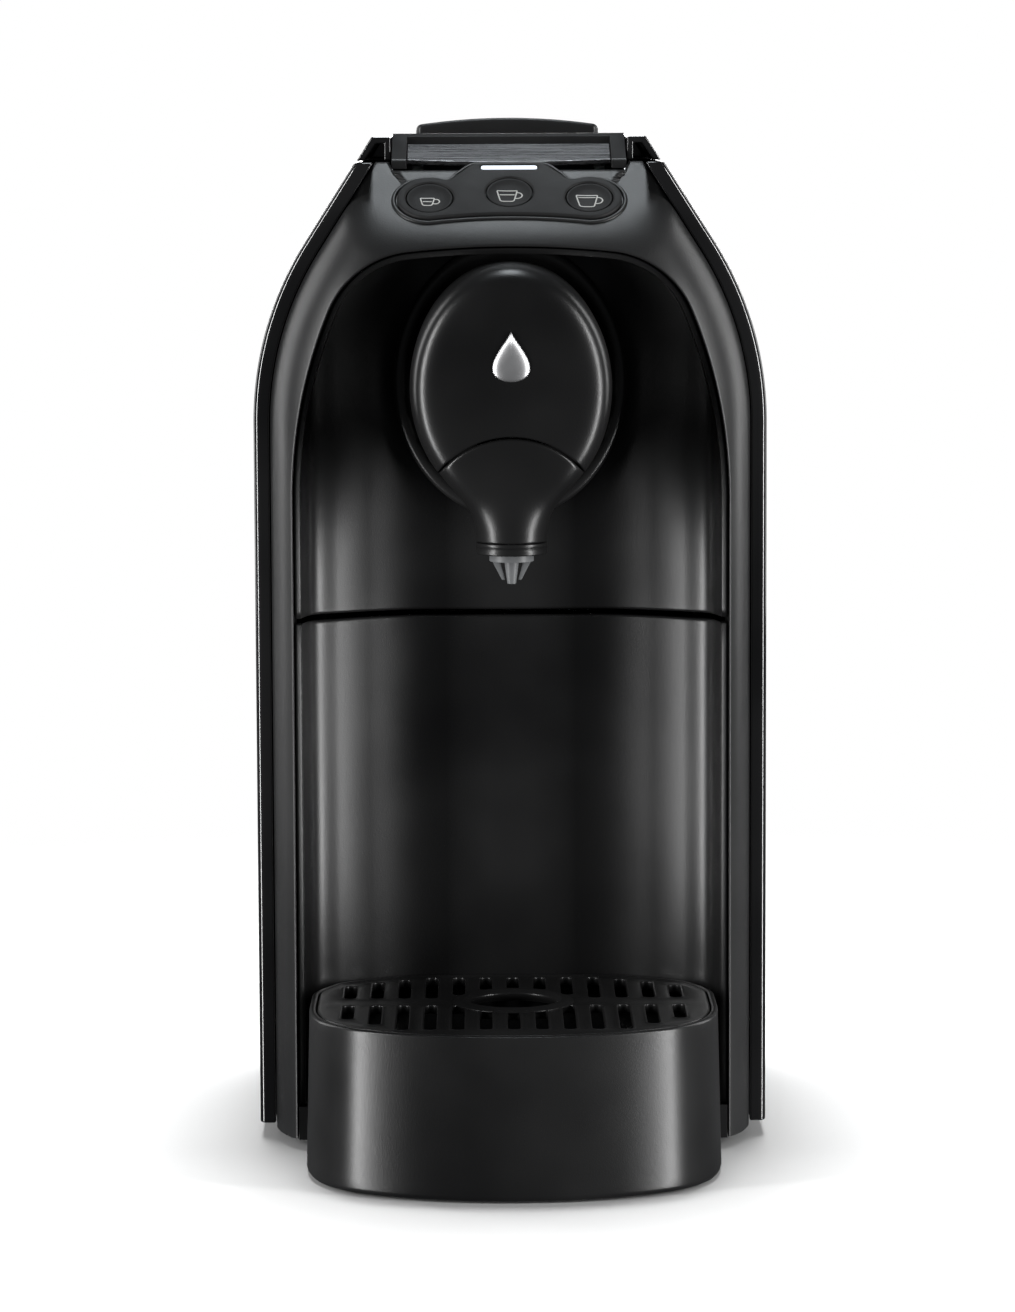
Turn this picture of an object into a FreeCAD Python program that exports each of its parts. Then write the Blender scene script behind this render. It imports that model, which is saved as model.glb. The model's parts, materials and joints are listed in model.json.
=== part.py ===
"""Pod coffee machine: a parametric FreeCAD document of every piece, written out as one STEP file each.

Frame: X to the right as seen from the front, Y to the back, Z up. The origin is on the worktop under
the middle of the machine. All sizes are millimetres and degrees.
"""
import FreeCAD, Part
import os
import re
import Sketcher
from math import asin, cos, degrees, pi, radians, sin, sqrt, tan
from FreeCAD import Placement, Rotation, Vector

doc = FreeCAD.newDocument("PodCoffeeMachine")

# ---------------------------------------------------------------- driving dimensions
SIZES = {
    # casing outline, seen from the front
    "body_half": 91.7, "shoulder_spring": 259.5, "shoulder_radius": 120, "shoulder_tilt": 32.5,
    "shell_band": 5.7, "casing_low": 5.5, "casing_top": 352, "housing_top": 361, "gap": 0.3,
    # casing stations from front to back
    "bezel_front": -41.5, "shell_front": -21.5, "frame_back": 3, "bulkhead_front": 75, "tank_front": 78,
    "machine_back": 127.5, "wall": 2.4, "skin": 2.2,
    # arch of the front frame
    "arch_half": 77.2, "arch_spring": 232.6, "arch_radius": 177, "arch_lean": 22.4, "corner_radius": 34,
    "crown_slope": 6, "frame_low": 4,
    # sloping fascia
    "fascia_low": 324.5, "fascia_tilt": 36.25,
    # concave recess, container and tray
    "flat_half": 36, "flat_y": -10.5, "rim_y": -40, "rim_half": 76.7, "rim_wide": 2.1,
    "seam_z": 190.5, "container_low": 16, "container_back": 36, "container_half": 70,
    "tray_half": 73, "tray_front": -127.5, "tray_low": 0.8, "tray_top": 58, "grid_thick": 3.2,
    "cup_hole": 15.8, "slot_pitch": 9.65, "slot_wide": 4.4, "outlet_y": -61.5,
    # brew head
    "head_half": 35.35, "head_tall": 43, "head_mid": 274.5, "head_front": -78, "head_back": -20.4,
    "seam_radius": 32.1, "seam_mid": 225.9, "boss_half": 41.8, "boss_tall": 49.5, "boss_front": -20,
    "collar_radius": 12.4, "collar_low": 216.6, "collar_top": 221,
    # brew works
    "brew_z": 272, "pivot_y": 24, "pivot_z": 347, "sector_pitch": 22, "idler_pitch": 8, "gear_module": 2,
    "gear_in": 31, "gear_wide": 4, "rod_radius": 3, "rod_x": 33, "rod_z": 284, "pin_radius": 2.5,
    "axle_radius": 2, "fit": 0.05, "cheek_in": 43, "cheek_out": 46, "hub_radius": 6, "chamber_radius": 23,
    "plunger_radius": 18.2, "capsule_long": 30,
    # lever
    "lever_half": 42, "arm_wide": 5.2, "lever_front": -5.5, "lever_front_z": 353.2, "lever_arc": 15,
    # controls
    "panel_thick": 2.6, "panel_proud": 1.6, "button_radius": 8.2, "button_x": 28.3, "button_v": 23.8,
    "middle_v": 26.9, "light_v": 41.3, "light_half": 10, "light_tall": 1.9,
    # tank
    "tank_low": 16.2, "tank_top": 349, "tank_corner": 24, "lid_low": 349.4, "grip_half": 34.4,
    "grip_y": 87, "grip_deep": 9, "grip_top": 367.4, "valve_y": 98, "valve_radius": 9,
    # base
    "base_low": 3.6, "base_thick": 3, "foot_radius": 9, "foot_x": 66,
}
sheet = doc.addObject("Spreadsheet::Sheet", "Sizes")
for row, (alias, number) in enumerate(SIZES.items(), start=1):
    sheet.set(f"A{row}", alias)
    sheet.set(f"B{row}", str(number))
    sheet.setAlias(f"B{row}", alias)
doc.recompute()

nodes = {}


def size(alias):
    """One driving dimension, read back from the sheet."""
    return float(sheet.get(alias))


def formula(text):
    """A sum of aliases and numbers, written as an expression on the sheet."""
    return re.sub(r"[a-z][a-z_0-9]*", lambda word: "Sizes." + word.group(), str(text))


def value(text):
    """The number that a sum of aliases comes to."""
    total, sign = 0.0, 1
    for term in re.findall(r"[+-]|[^+-]+", str(text).replace(" ", "")):
        if term in "+-":
            sign = -1 if term == "-" else 1
            continue
        product = 1.0
        for operator, factor in re.findall(r"([*/]?)([a-z_0-9.]+)", term):
            number = size(factor) if factor in SIZES else float(factor)
            product = product / number if operator == "/" else product * number
        total, sign = total + sign * product, 1
    return total


def keep(label, made):
    """Name a finished piece: its label is its node and its file."""
    made.Label = label
    nodes[label] = made
    return made


def place(made, x, y, z, turn=None):
    """Turn an object, then bind the place of its own origin to the sheet."""
    made.Placement = Placement(Vector(), turn or Rotation())
    for axis, text in (("x", x), ("y", y), ("z", z)):
        made.setExpression(f"Placement.Base.{axis}", formula(text))


# ---------------------------------------------------------------- building blocks
def cuboid(name, x, y, z):
    """A box between two places on each axis."""
    made = doc.addObject("Part::Box", name)
    for prop, (low, high) in (("Length", x), ("Width", y), ("Height", z)):
        made.setExpression(prop, f"({formula(high)}) - ({formula(low)})")
    place(made, x[0], y[0], z[0])
    return made


TURNS = {"x": Rotation(Vector(0, 1, 0), 90), "y": Rotation(Vector(1, 0, 0), -90), "z": Rotation()}


def rod(name, axis, radius, span, x="0", y="0", z="0"):
    """A cylinder along one axis, from one place on it to another."""
    made = doc.addObject("Part::Cylinder", name)
    made.setExpression("Radius", formula(radius))
    made.setExpression("Height", f"({formula(span[1])}) - ({formula(span[0])})")
    where = {"x": x, "y": y, "z": z}
    where[axis] = span[0]
    place(made, where["x"], where["y"], where["z"], TURNS[axis])
    return made


def fuse(name, *parts):
    """Several objects made one."""
    made = doc.addObject("Part::MultiFuse", name)
    made.Shapes = list(parts)
    return made


def cut(name, base, *tools):
    """The base less every tool."""
    made = doc.addObject("Part::Cut", name)
    made.Base = base
    made.Tool = tools[0] if len(tools) == 1 else fuse(name + "_tools", *tools)
    return made


def common(name, *parts):
    """What all the objects share."""
    made = doc.addObject("Part::MultiCommon", name)
    made.Shapes = list(parts)
    return made


def mirrored(name, source):
    """The same piece on the other side of the middle plane."""
    made = doc.addObject("Part::Mirroring", name)
    made.Source = source
    made.Base = Vector(0, 0, 0)
    made.Normal = Vector(1, 0, 0)
    return made


def both_sides(name, source):
    """A piece and its mirror image, as two solids in one object."""
    made = doc.addObject("Part::Compound", name)
    made.Links = [source, mirrored(name + "_twin", source)]
    return made


def feature(name, shape, placement=None):
    """A piece whose shape is worked out with Part's own functions."""
    made = doc.addObject("Part::Feature", name)
    made.Shape = shape
    if placement:
        made.Placement = placement
    return made


def rounded(name, base, radius, choose):
    """The base with the edges that choose() picks rounded off."""
    doc.recompute()
    made = doc.addObject("Part::Fillet", name)
    made.Base = base
    made.Edges = [(index, value(radius), value(radius))
                  for index, edge in enumerate(base.Shape.Edges, start=1) if choose(edge)]
    return made


def along(axis):
    """A choice of the straight edges that run along one axis."""
    way = {"x": Vector(1, 0, 0), "y": Vector(0, 1, 0), "z": Vector(0, 0, 1)}[axis]

    def choose(edge):
        first, last = edge.Vertexes[0].Point, edge.Vertexes[-1].Point
        return edge.Length > 0.5 and abs((last - first).dot(way)) > 0.999 * edge.Length
    return choose


def origin_plane(body, role):
    """One of a body's own origin planes."""
    return next(item for item in body.Origin.OriginFeatures if item.Role == role)


def outline_sketch(body, name, role, corners):
    """A closed outline of straight lines, each corner bound to the sheet."""
    sketch = body.newObject("Sketcher::SketchObject", name)
    sketch.AttachmentSupport = [(origin_plane(body, role), "")]
    sketch.MapMode = "FlatFace"
    points = [Vector(value(across), value(up), 0) for across, up in corners]
    for index, point in enumerate(points):
        sketch.addGeometry(Part.LineSegment(point, points[(index + 1) % len(points)]))
    for index in range(len(points)):
        sketch.addConstraint(Sketcher.Constraint("Coincident", index, 2, (index + 1) % len(points), 1))
    for index, (across, up) in enumerate(corners):
        for kind, text, axis in (("DistanceX", across, -2), ("DistanceY", up, -1)):
            if abs(value(text)) < 1e-9:
                sketch.addConstraint(Sketcher.Constraint("PointOnObject", index, 1, axis))
                continue
            rule = sketch.addConstraint(Sketcher.Constraint(kind, -1, 1, index, 1, value(text)))
            sketch.setExpression(f"Constraints[{rule}]", formula(text))
    return sketch


def turned(name, corners, x="0", y="0", z="0", turn=None):
    """A body turned about its own upright axis: corners are radius and height."""
    body = doc.addObject("PartDesign::Body", name)
    sketch = outline_sketch(body, name + "_outline", "XZ_Plane", corners)
    spin = body.newObject("PartDesign::Revolution", name + "_turn")
    spin.Profile = sketch
    spin.ReferenceAxis = (sketch, ["V_Axis"])
    spin.Angle = 360
    place(body, x, y, z, turn)
    return body


def padded(name, role, corners, thick, x="0", y="0", z="0", turn=None):
    """A body padded from a sketch of straight lines on one of its origin planes."""
    body = doc.addObject("PartDesign::Body", name)
    sketch = outline_sketch(body, name + "_outline", role, corners)
    pad = body.newObject("PartDesign::Pad", name + "_pad")
    pad.Profile = sketch
    pad.setExpression("Length", formula(thick))
    place(body, x, y, z, turn)
    return body


def edges_through(points, closed=True):
    """Lines and arcs from a list: a plain point is a line's end, a pair is an arc's middle and end."""
    edges, here = [], points[0]
    for step in points[1:]:
        if isinstance(step, tuple):
            edges.append(Part.Arc(here, step[0], step[1]).toShape())
            here = step[1]
        else:
            edges.append(Part.LineSegment(here, step).toShape())
            here = step
    if closed:
        edges.append(Part.LineSegment(here, points[0]).toShape())
    return edges


def body_outline(inset, low, high, y):
    """The casing's outline, inset evenly: upright sides, round shoulders, straight slopes, flat top."""
    half = size("body_half") - inset
    bend = size("shoulder_radius") - inset
    tilt = radians(size("shoulder_tilt"))
    spring = size("shoulder_spring")

    def on_bend(angle):
        return half - bend * (1 - cos(angle)), spring + bend * sin(angle)

    end_x, end_z = on_bend(tilt)
    mid_x, mid_z = on_bend(tilt / 2)
    top_x = end_x - (high - end_z) * tan(tilt)
    right = [Vector(half, y, low), Vector(half, y, spring),
             (Vector(mid_x, y, mid_z), Vector(end_x, y, end_z)), Vector(top_x, y, high)]
    left = [Vector(-top_x, y, high), Vector(-end_x, y, end_z),
            (Vector(-mid_x, y, mid_z), Vector(-half, y, spring)), Vector(-half, y, low)]
    return Part.Wire(edges_through(right + left))


def arch_outline(inset, low, y):
    """The arch's outline: upright legs, a long lean inwards, round corners and a nearly flat crown."""
    half = size("arch_half") - inset
    long_bend = size("arch_radius") - inset
    corner = size("corner_radius") - inset
    lean = radians(size("arch_lean"))
    crown = radians(90 - size("crown_slope"))
    spring = size("arch_spring")

    def on_long(angle):
        return half - long_bend * (1 - cos(angle)), spring + long_bend * sin(angle)

    start_x, start_z = on_long(lean)
    half_x, half_z = on_long(lean / 2)

    def on_corner(angle):
        return start_x - corner * (cos(lean) - cos(angle)), start_z + corner * (sin(angle) - sin(lean))

    bend_x, bend_z = on_corner((lean + crown) / 2)
    end_x, end_z = on_corner(crown)
    peak = end_z + end_x / cos(crown) * (1 - sin(crown))
    right = [Vector(half, y, low), Vector(half, y, spring),
             (Vector(half_x, y, half_z), Vector(start_x, y, start_z)),
             (Vector(bend_x, y, bend_z), Vector(end_x, y, end_z))]
    over = [(Vector(0, y, peak), Vector(-end_x, y, end_z))]
    left = [(Vector(-bend_x, y, bend_z), Vector(-start_x, y, start_z)),
            (Vector(-half_x, y, half_z), Vector(-half, y, spring)), Vector(-half, y, low)]
    return Part.Wire(edges_through(right + over + left))


def thick(wire, depth, direction=Vector(0, 1, 0)):
    """A closed wire filled and pushed along a direction."""
    return Part.Face(wire).extrude(direction * depth)


def block(x, y, z):
    """A plain box shape between two places on each axis, for trimming worked-out shapes."""
    return Part.makeBox(x[1] - x[0], y[1] - y[0], z[1] - z[0], Vector(x[0], y[0], z[0]))


def on_fascia(up, proud=0.0, across=0.0):
    """A place on the sloping fascia: so far up the slope, so far out of it."""
    tilt = radians(size("fascia_tilt"))
    y = size("bezel_front") + up * cos(tilt) - proud * sin(tilt)
    return Vector(across, y, size("fascia_low") + up * sin(tilt) + proud * cos(tilt))


def fascia_place(up, proud=0.0, across=0.0):
    """The placement that stands a piece on the fascia, its Z out of the slope and its Y up it."""
    return Placement(on_fascia(up, proud, across), Rotation(Vector(1, 0, 0), size("fascia_tilt")))


def below_fascia(drop):
    """Everything under the fascia plane lowered by drop, as a large block."""
    large = 400.0
    made = Part.makeBox(large, large, large, Vector(-large / 2, -large / 2, -large))
    made.Placement = fascia_place(0, -drop)
    return made


# ---------------------------------------------------------------- casing
GAP = size("gap")
WALL = size("wall")
SKIN = size("skin")


def casing_solid(inset, step, back):
    """The front casing: it spreads from the arch's edge to the side shells, then runs straight back."""
    front, shoulder = size("bezel_front") + step, size("shell_front") + step
    low, high = size("frame_low"), size("casing_top")
    nose = arch_outline(-0.01 if inset else 0.0, low, front)
    skirt = size("shell_band") + GAP + inset
    spread = Part.makeLoft([nose, body_outline(skirt, low, high - inset, shoulder)], True, True)
    run = thick(body_outline(skirt, low, high - inset, shoulder), back - shoulder)
    return spread.fuse(run).common(below_fascia(inset))


def panel_face(grow):
    """The control panel's outline on the fascia: two round lobes, a raised middle and an arched foot."""
    lobe = value("button_radius+3.4") + grow
    reach, up = size("button_x"), size("button_v")
    crest, crest_half, dip = size("light_v") + 2.4 + grow, 12.6 + grow * 0.5, 22.0
    outer = (Vector(reach + lobe, up, 0), Vector(reach, up - lobe, 0))
    points = [Vector(-dip, up + lobe - 2, 0), Vector(-crest_half, crest, 0), Vector(crest_half, crest, 0),
              Vector(dip, up + lobe - 2, 0), Vector(reach, up + lobe, 0), outer,
              (Vector(0, up - lobe + 2.4, 0), Vector(-reach, up - lobe, 0)),
              (Vector(-reach - lobe, up, 0), Vector(-reach, up + lobe, 0))]
    return Part.Face(Part.Wire(edges_through(points)))


def panel_block(grow, low, high):
    """The control panel's outline as a block that stands across the fascia."""
    made = panel_face(grow).extrude(Vector(0, 0, high - low))
    made.Placement = fascia_place(0, low)
    return made


def make_front_frame():
    low, front, back = size("frame_low"), size("bezel_front"), size("frame_back")
    shell = casing_solid(0, 0, back).cut(casing_solid(WALL, WALL, back + 1))
    tunnel = thick(arch_outline(-WALL, low, front), 29).cut(thick(arch_outline(0, low - 1, front - 1), 31))
    tunnel = tunnel.common(casing_solid(0, 0, back))
    opening = thick(arch_outline(0, low - 1, front - 1), 31)
    shell = shell.cut(opening).fuse(tunnel).cut(panel_block(GAP, -9, 9))
    lever_bay = block((-value("lever_half+gap"), value("lever_half+gap")), (-6, back + 1),
                      (size("casing_top") - 3.4, size("casing_top") + 9))
    return shell.cut(lever_bay)


def make_side_shell():
    """The right-hand shell: a curved skin with a return at the front and at the back."""
    low, high = size("casing_low"), size("casing_top")
    front, back = size("shell_front"), value("tank_front-1.2")
    outer = thick(body_outline(0, low, high, front), back - front)
    inner = thick(body_outline(size("shell_band"), low - 1, high + 1, front - 1), back - front + 2)
    hollow = thick(body_outline(SKIN, low - 1, high + 1, front + 3), back - front - 6)
    shell = outer.cut(inner).cut(hollow)
    return shell.common(block((0, 120), (front - 1, back + 1), (low, high)))


def make_side_trim():
    """The right-hand trim: a thin gloss plate let into the side shell and standing just proud of it."""
    half = size("body_half")
    plate = block((half - 0.6, half + 0.5), (-9, 66), (16, 256))
    return plate


front_frame = keep("front_frame", feature("front_frame", make_front_frame()))
trim_right = feature("trim_right", make_side_trim())
trim_right = rounded("trim_rounded", trim_right, "9", along("x"))
trim_room = cuboid("trim_room", ("body_half-0.6", "body_half+2"), ("-9", "66"), ("16", "256"))
shell_right = cut("shell_right", feature("shell_blank", make_side_shell()), trim_room)
keep("side_shell_right", shell_right)
keep("side_shell_left", mirrored("shell_left", shell_right))
keep("side_trims", both_sides("side_trims", trim_right))


def make_bulkhead():
    low, high = size("frame_low"), size("casing_top") - 2
    front, back = size("bulkhead_front"), value("tank_front-0.8")
    return thick(body_outline(value("shell_band+gap"), low + 12, high, front), back - front)


bulkhead = feature("bulkhead_blank", make_bulkhead())
keep("bulkhead", cut("bulkhead_bored", bulkhead,
                     rod("inlet_hole", "y", "5", ("bulkhead_front-1", "tank_front"), "30", "0", "28")))

# the base: a plate with side blocks in front, rails for the drawer and a platform under the tank
base_front = cuboid("base_front", ("-82.8", "82.8"), ("-9.6", "tank_front-0.8"), ("base_low", "base_low+base_thick"))
platform = cuboid("platform", ("-88", "88"), ("tank_front-0.8", "machine_back-1"), ("base_low", "tank_low-0.2"))
platform = rounded("platform_rounded", platform, "20", lambda edge: along("z")(edge)
                   and edge.Vertexes[0].Y > size("tank_front") + 5)
platform_hollow = cuboid("platform_hollow", ("-84", "84"), ("tank_front+4", "machine_back-6"),
                         ("base_low-1", "tank_low-3"))
ledge = cuboid("ledge", ("74", "84"), ("bezel_front+0.5", "-9"), ("base_low", "container_low-0.4"))
ledge = common("ledge_kept", ledge, cuboid("ledge_room", ("74", "arch_half-0.4"), ("bezel_front", "0"), ("0", "20")))
rail = cuboid("rail", ("60", "64"), ("-9.6", "60"), ("base_low+base_thick", "container_low-0.3"))
tie = cuboid("ledge_tie", ("74", "76.8"), ("-9.6", "0"), ("base_low", "base_low+base_thick"))
seat_hole = rod("seat_hole", "z", "valve_radius+2", ("tank_low-6", "tank_low+5"), "0", "valve_y")
base = fuse("base_blank", base_front, cut("platform_cut", platform, platform_hollow), ledge,
            mirrored("ledge_left", ledge), rail, mirrored("rail_left", rail), tie, mirrored("tie_left", tie))
feed_hole = rod("feed_hole", "y", "3.2", ("bulkhead_front", "tank_front+6"), "-72", "0", "9.8")
inlet_room = cuboid("inlet_room", ("57.8", "80.2"), ("machine_back-8", "machine_back"), ("4.4", "12.6"))
keep("base_plate", cut("base_bored", base, seat_hole, feed_hole, inlet_room))

foot = turned("foot", [("0", "0"), ("foot_radius-1", "0"), ("foot_radius", "1"), ("foot_radius-0.6", "base_low"),
                       ("0", "base_low")], x="foot_x", y="8")
rear_foot = turned("rear_foot", [("0", "0"), ("foot_radius-1", "0"), ("foot_radius", "1"),
                                 ("foot_radius-0.6", "base_low"), ("0", "base_low")], x="foot_x", y="70")
feet = doc.addObject("Part::Compound", "feet")
feet.Links = [foot, rear_foot, mirrored("foot_left", foot), mirrored("rear_foot_left", rear_foot)]
keep("rubber_feet", feet)


# ---------------------------------------------------------------- top housing
def make_top_housing():
    """The gloss top: flanks beside the lever, a deck behind it, one sloping outline with the shells."""
    low, high = size("casing_top") + 0.4, size("housing_top")
    front, back = size("frame_back") + 0.6, value("tank_front-0.8")
    solid = thick(body_outline(0, 200, high, front), back - front)
    solid = solid.common(block((-100, 100), (front - 1, back + 1), (low, high + 1)))
    inner = thick(body_outline(WALL, 200, high - WALL, front - 1), back - front - WALL + 1)
    lever = size("lever_half") + 0.5
    rear = value("pivot_y+lever_arc+0.5")
    bay = block((-lever, lever), (front - 1, rear), (low - 1, high + 1))
    lining = block((-lever - WALL, lever + WALL), (front, rear + WALL), (low, high))
    return solid.cut(inner).fuse(lining.common(solid)).cut(bay)


top_housing = feature("top_blank", make_top_housing())
keep("top_housing", top_housing)

# the deck under the lever, with the mouth that a capsule drops through
deck = cuboid("deck_plate", ("-29.4", "29.4"), ("frame_back-8.6", "pivot_y-1"), ("343", "345.4"))
mouth = cuboid("deck_mouth", ("-23.5", "23.5"), ("-2", "pivot_y-3"), ("300", "350"))
throat_out = cuboid("throat_out", ("-25.5", "25.5"), ("-4", "pivot_y-1"), ("302", "343"))
keep("capsule_inlet", cut("capsule_inlet_cut", fuse("inlet_blank", deck, throat_out), mouth))


# ---------------------------------------------------------------- recess, container, tray
def concave_edge(shift):
    """The hollow front, seen from above: flat in the middle, then sweeping forward to the rims."""
    flat, rim = size("flat_half"), size("rim_half") - size("rim_wide")
    y = size("flat_y") + shift
    sweep = [Vector(flat, y, 0), Vector(51, y - 6.5, 0), Vector(65, y - 13.5, 0),
             Vector(71.5, y - 17.6, 0), Vector(rim, y - 26.5, 0)]
    right = Part.BSplineCurve()
    right.interpolate(sweep, InitialTangent=Vector(1, 0, 0), FinalTangent=Vector(0.12, -1, 0))
    middle = Part.LineSegment(Vector(-flat, y, 0), Vector(flat, y, 0))
    return [right.toShape().mirror(Vector(), Vector(1, 0, 0)), middle.toShape(), right.toShape()]


def concave_solid(low, high, far):
    """Everything between the hollow front face and an upright plane y = far."""
    edges = concave_edge(0)
    end = edges[-1].Vertexes[-1].Point
    start = Vector(-end.x, end.y, 0)
    far_end, far_start = Vector(end.x, far, 0), Vector(start.x, far, 0)
    edges += [Part.LineSegment(end, far_end).toShape(), Part.LineSegment(far_end, far_start).toShape(),
              Part.LineSegment(far_start, start).toShape()]
    face = Part.Face(Part.Wire(Part.__sortEdges__(edges)))
    face.translate(Vector(0, 0, low))
    return face.extrude(Vector(0, 0, high - low))


def concave_skin(low, high, wall):
    """The hollow front as a moulded wall; behind its sweeps it is relieved in flat facets."""
    y = size("flat_y")
    behind = y + wall
    facets = [Vector(72.4, behind + 1, low - 1), Vector(72.4, y - 17.4, low - 1), Vector(69.6, y - 13, low - 1),
              Vector(63, y - 9.8, low - 1), Vector(51, y - 3.7, low - 1), Vector(38, behind, low - 1),
              Vector(38, behind + 1, low - 1)]
    relief = Part.Face(Part.Wire(edges_through(facets))).extrude(Vector(0, 0, high - low + 2))
    return concave_solid(low, high, behind).cut([relief, relief.mirror(Vector(), Vector(1, 0, 0))])


def arch_ring(outer, inner, low, front, back):
    """A band that follows the arch between two insets."""
    return thick(arch_outline(outer, low, front), back - front).cut(
        thick(arch_outline(inner, low - 1, front - 1), back - front + 2))


def ellipse_block(half, tall, middle, front, back):
    """An upright oval pushed from front to back."""
    oval = Part.Ellipse(Vector(0, front, middle + tall), Vector(half, front, middle), Vector(0, front, middle))
    return thick(Part.Wire(oval.toShape()), back - front)


def make_recess_panel():
    low, high = size("seam_z") + 1, 330
    rim_front, behind = size("rim_y"), size("flat_y") + WALL
    inset = size("arch_half") - size("rim_half")
    skin = concave_skin(low, high, WALL).common(thick(arch_outline(inset, low, rim_front), 50))
    rim = arch_ring(inset, inset + size("rim_wide"), low, rim_front, behind)
    boss = ellipse_block(size("boss_half"), size("boss_tall") - 1.5, size("head_mid"), size("boss_front"), behind)
    boss = boss.common(thick(arch_outline(inset, low, rim_front), 50))
    bore = Part.makeCylinder(size("chamber_radius") + 1, 60, Vector(0, -45, size("brew_z")), Vector(0, 1, 0))
    return skin.fuse([rim, boss]).cut(bore).removeSplitter()


keep("recess_panel", feature("recess_panel", make_recess_panel()))


def make_container():
    """The used-capsule drawer: the hollow front with its rims, and an open-topped bin behind it."""
    low, high = size("container_low"), size("seam_z") - 1
    rim_out, rim_in = size("rim_half"), size("rim_half") - size("rim_wide") - 0.4
    back = size("container_back")
    half = size("container_half")
    skin = concave_skin(low, high, SKIN)
    rims = block((-rim_out, rim_out), (size("rim_y"), size("flat_y") + SKIN), (low, high)).cut(
        block((-rim_in, rim_in), (size("rim_y") - 1, size("flat_y") + SKIN + 1), (low - 1, high + 1)))
    rims = rims.common(block((-99, 99), (size("rim_y"), -34), (low, high)))
    bin_out = block((-half, half), (size("flat_y") + 0.5, back), (low, high - 3))
    ahead = concave_solid(low - 1, high + 1, -90)
    bin_in = block((-half + SKIN, half - SKIN), (size("flat_y") + SKIN, back - SKIN), (low + SKIN, high + 1))
    return skin.fuse([rims, bin_out.cut(ahead)]).cut(bin_in).removeSplitter()


keep("capsule_container", feature("capsule_container", make_container()))


def tray_outline(inset, z, shrink=1.0):
    """The tray seen from above: a bowed front, round corners, straight sides and a back that
    follows the container's hollow front."""
    half = (size("tray_half") - inset) * shrink
    front = size("tray_front") + inset
    start = half - 20.5
    rear = concave_edge(-0.5 - inset)
    flip = min(half - 0.8, rear[-1].Vertexes[-1].Point.x - 1.4 - inset)
    points = [Vector(-half, -52, z), Vector(-half, -88, z),
              (Vector(-half + 6.2, -108.4 + 0.6 * inset, z), Vector(-start, front + 6.4, z)),
              (Vector(0, front, z), Vector(start, front + 6.4, z)),
              (Vector(half - 6.2, -108.4 + 0.6 * inset, z), Vector(half, -88, z)), Vector(half, -52, z),
              Vector(flip, -33 - inset, z)]
    back = [Vector(65 - inset, -24.5 - inset, z), Vector(51, -17.5 - inset, z), Vector(36, -11 - inset, z),
            Vector(-36, -11 - inset, z), Vector(-51, -17.5 - inset, z), Vector(-65 + inset, -24.5 - inset, z),
            Vector(-flip, -33 - inset, z)]
    return Part.Wire(edges_through(points + back))


def make_tray():
    low, high = size("tray_low"), size("tray_top")
    taper = 0.98
    outer = Part.makeLoft([tray_outline(0, low), tray_outline(0, high, taper)], True, True)
    basin = thick(tray_outline(SKIN + 1.4, low + SKIN), high, Vector(0, 0, 1))
    seat = thick(tray_outline(SKIN + 0.2, high - size("grid_thick")), 9, Vector(0, 0, 1))
    return outer.cut(basin).cut(seat)


def grid_slots():
    """Two rows of round-ended slots; the ones beside the cup hole are shorter, and the corners too."""
    wide, pitch = size("slot_wide"), size("slot_pitch")
    middle = size("outlet_y")
    slots = []
    for column in range(-6, 7):
        across = abs(column) * pitch
        clear = sqrt(max(0.0, 21.5 ** 2 - across ** 2))
        back_start = -30 if abs(column) == 6 else -20.5
        rows = [(max(middle + 5, middle + clear + 1.5), back_start if across > 30 else -17),
                (-113 + (0.0 if abs(column) < 5 else (abs(column) - 4) * 9.5), min(middle - 7.5, middle - clear + 3))]
        for near, far in rows:
            if far - near < wide + 2:
                continue
            x, radius = column * pitch, wide / 2
            points = [Vector(x - radius, near + radius, 0),
                      (Vector(x, near, 0), Vector(x + radius, near + radius, 0)),
                      Vector(x + radius, far - radius, 0),
                      (Vector(x, far, 0), Vector(x - radius, far - radius, 0))]
            slots.append(Part.Face(Part.Wire(edges_through(points))).extrude(Vector(0, 0, 20)))
    return slots


def make_grid():
    high, depth = size("tray_top"), size("grid_thick")
    plate = thick(tray_outline(SKIN + 0.7, high - depth), depth, Vector(0, 0, 1))
    slots = Part.makeCompound(grid_slots())
    slots.translate(Vector(0, 0, high - 10))
    hole = Part.makeCylinder(size("cup_hole"), 20, Vector(0, size("outlet_y"), high - 10))
    return plate.cut(slots).cut(hole)


keep("drip_tray", feature("drip_tray", make_tray()))
keep("drip_grid", feature("drip_grid", make_grid()))

# ---------------------------------------------------------------- brew head
HEAD = [(0.0, 1.045), (0.35, 1.03), (0.8, 1.0), (0.94, 0.96), (1.0, 0.86)]


def head_solid(inset):
    """The oval head: ovals that close in towards the front, the last steps rounding its edge."""
    front, back = size("head_front"), size("head_back")
    wires = []
    for share, scale in HEAD:
        y = back + (front + inset - back) * share
        half, tall = size("head_half") * scale - inset, size("head_tall") * scale - inset
        oval = Part.Ellipse(Vector(0, y, size("head_mid") + tall), Vector(half, y, size("head_mid")),
                            Vector(0, y, size("head_mid")))
        wires.append(Part.Wire(oval.toShape()))
    return Part.makeLoft(wires, True, True)


def seam_cylinder(grow):
    """The round line where the head and its funnel meet, as a bar from front to back."""
    return Part.makeCylinder(size("seam_radius") + grow, 140, Vector(0, -120, size("seam_mid")), Vector(0, 1, 0))


def make_head_cover():
    low_part = block((-60, 60), (-100, 0), (100, size("seam_mid")))
    shell = head_solid(0).cut(head_solid(WALL))
    return shell.cut(seam_cylinder(0.25)).cut(low_part)


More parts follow.
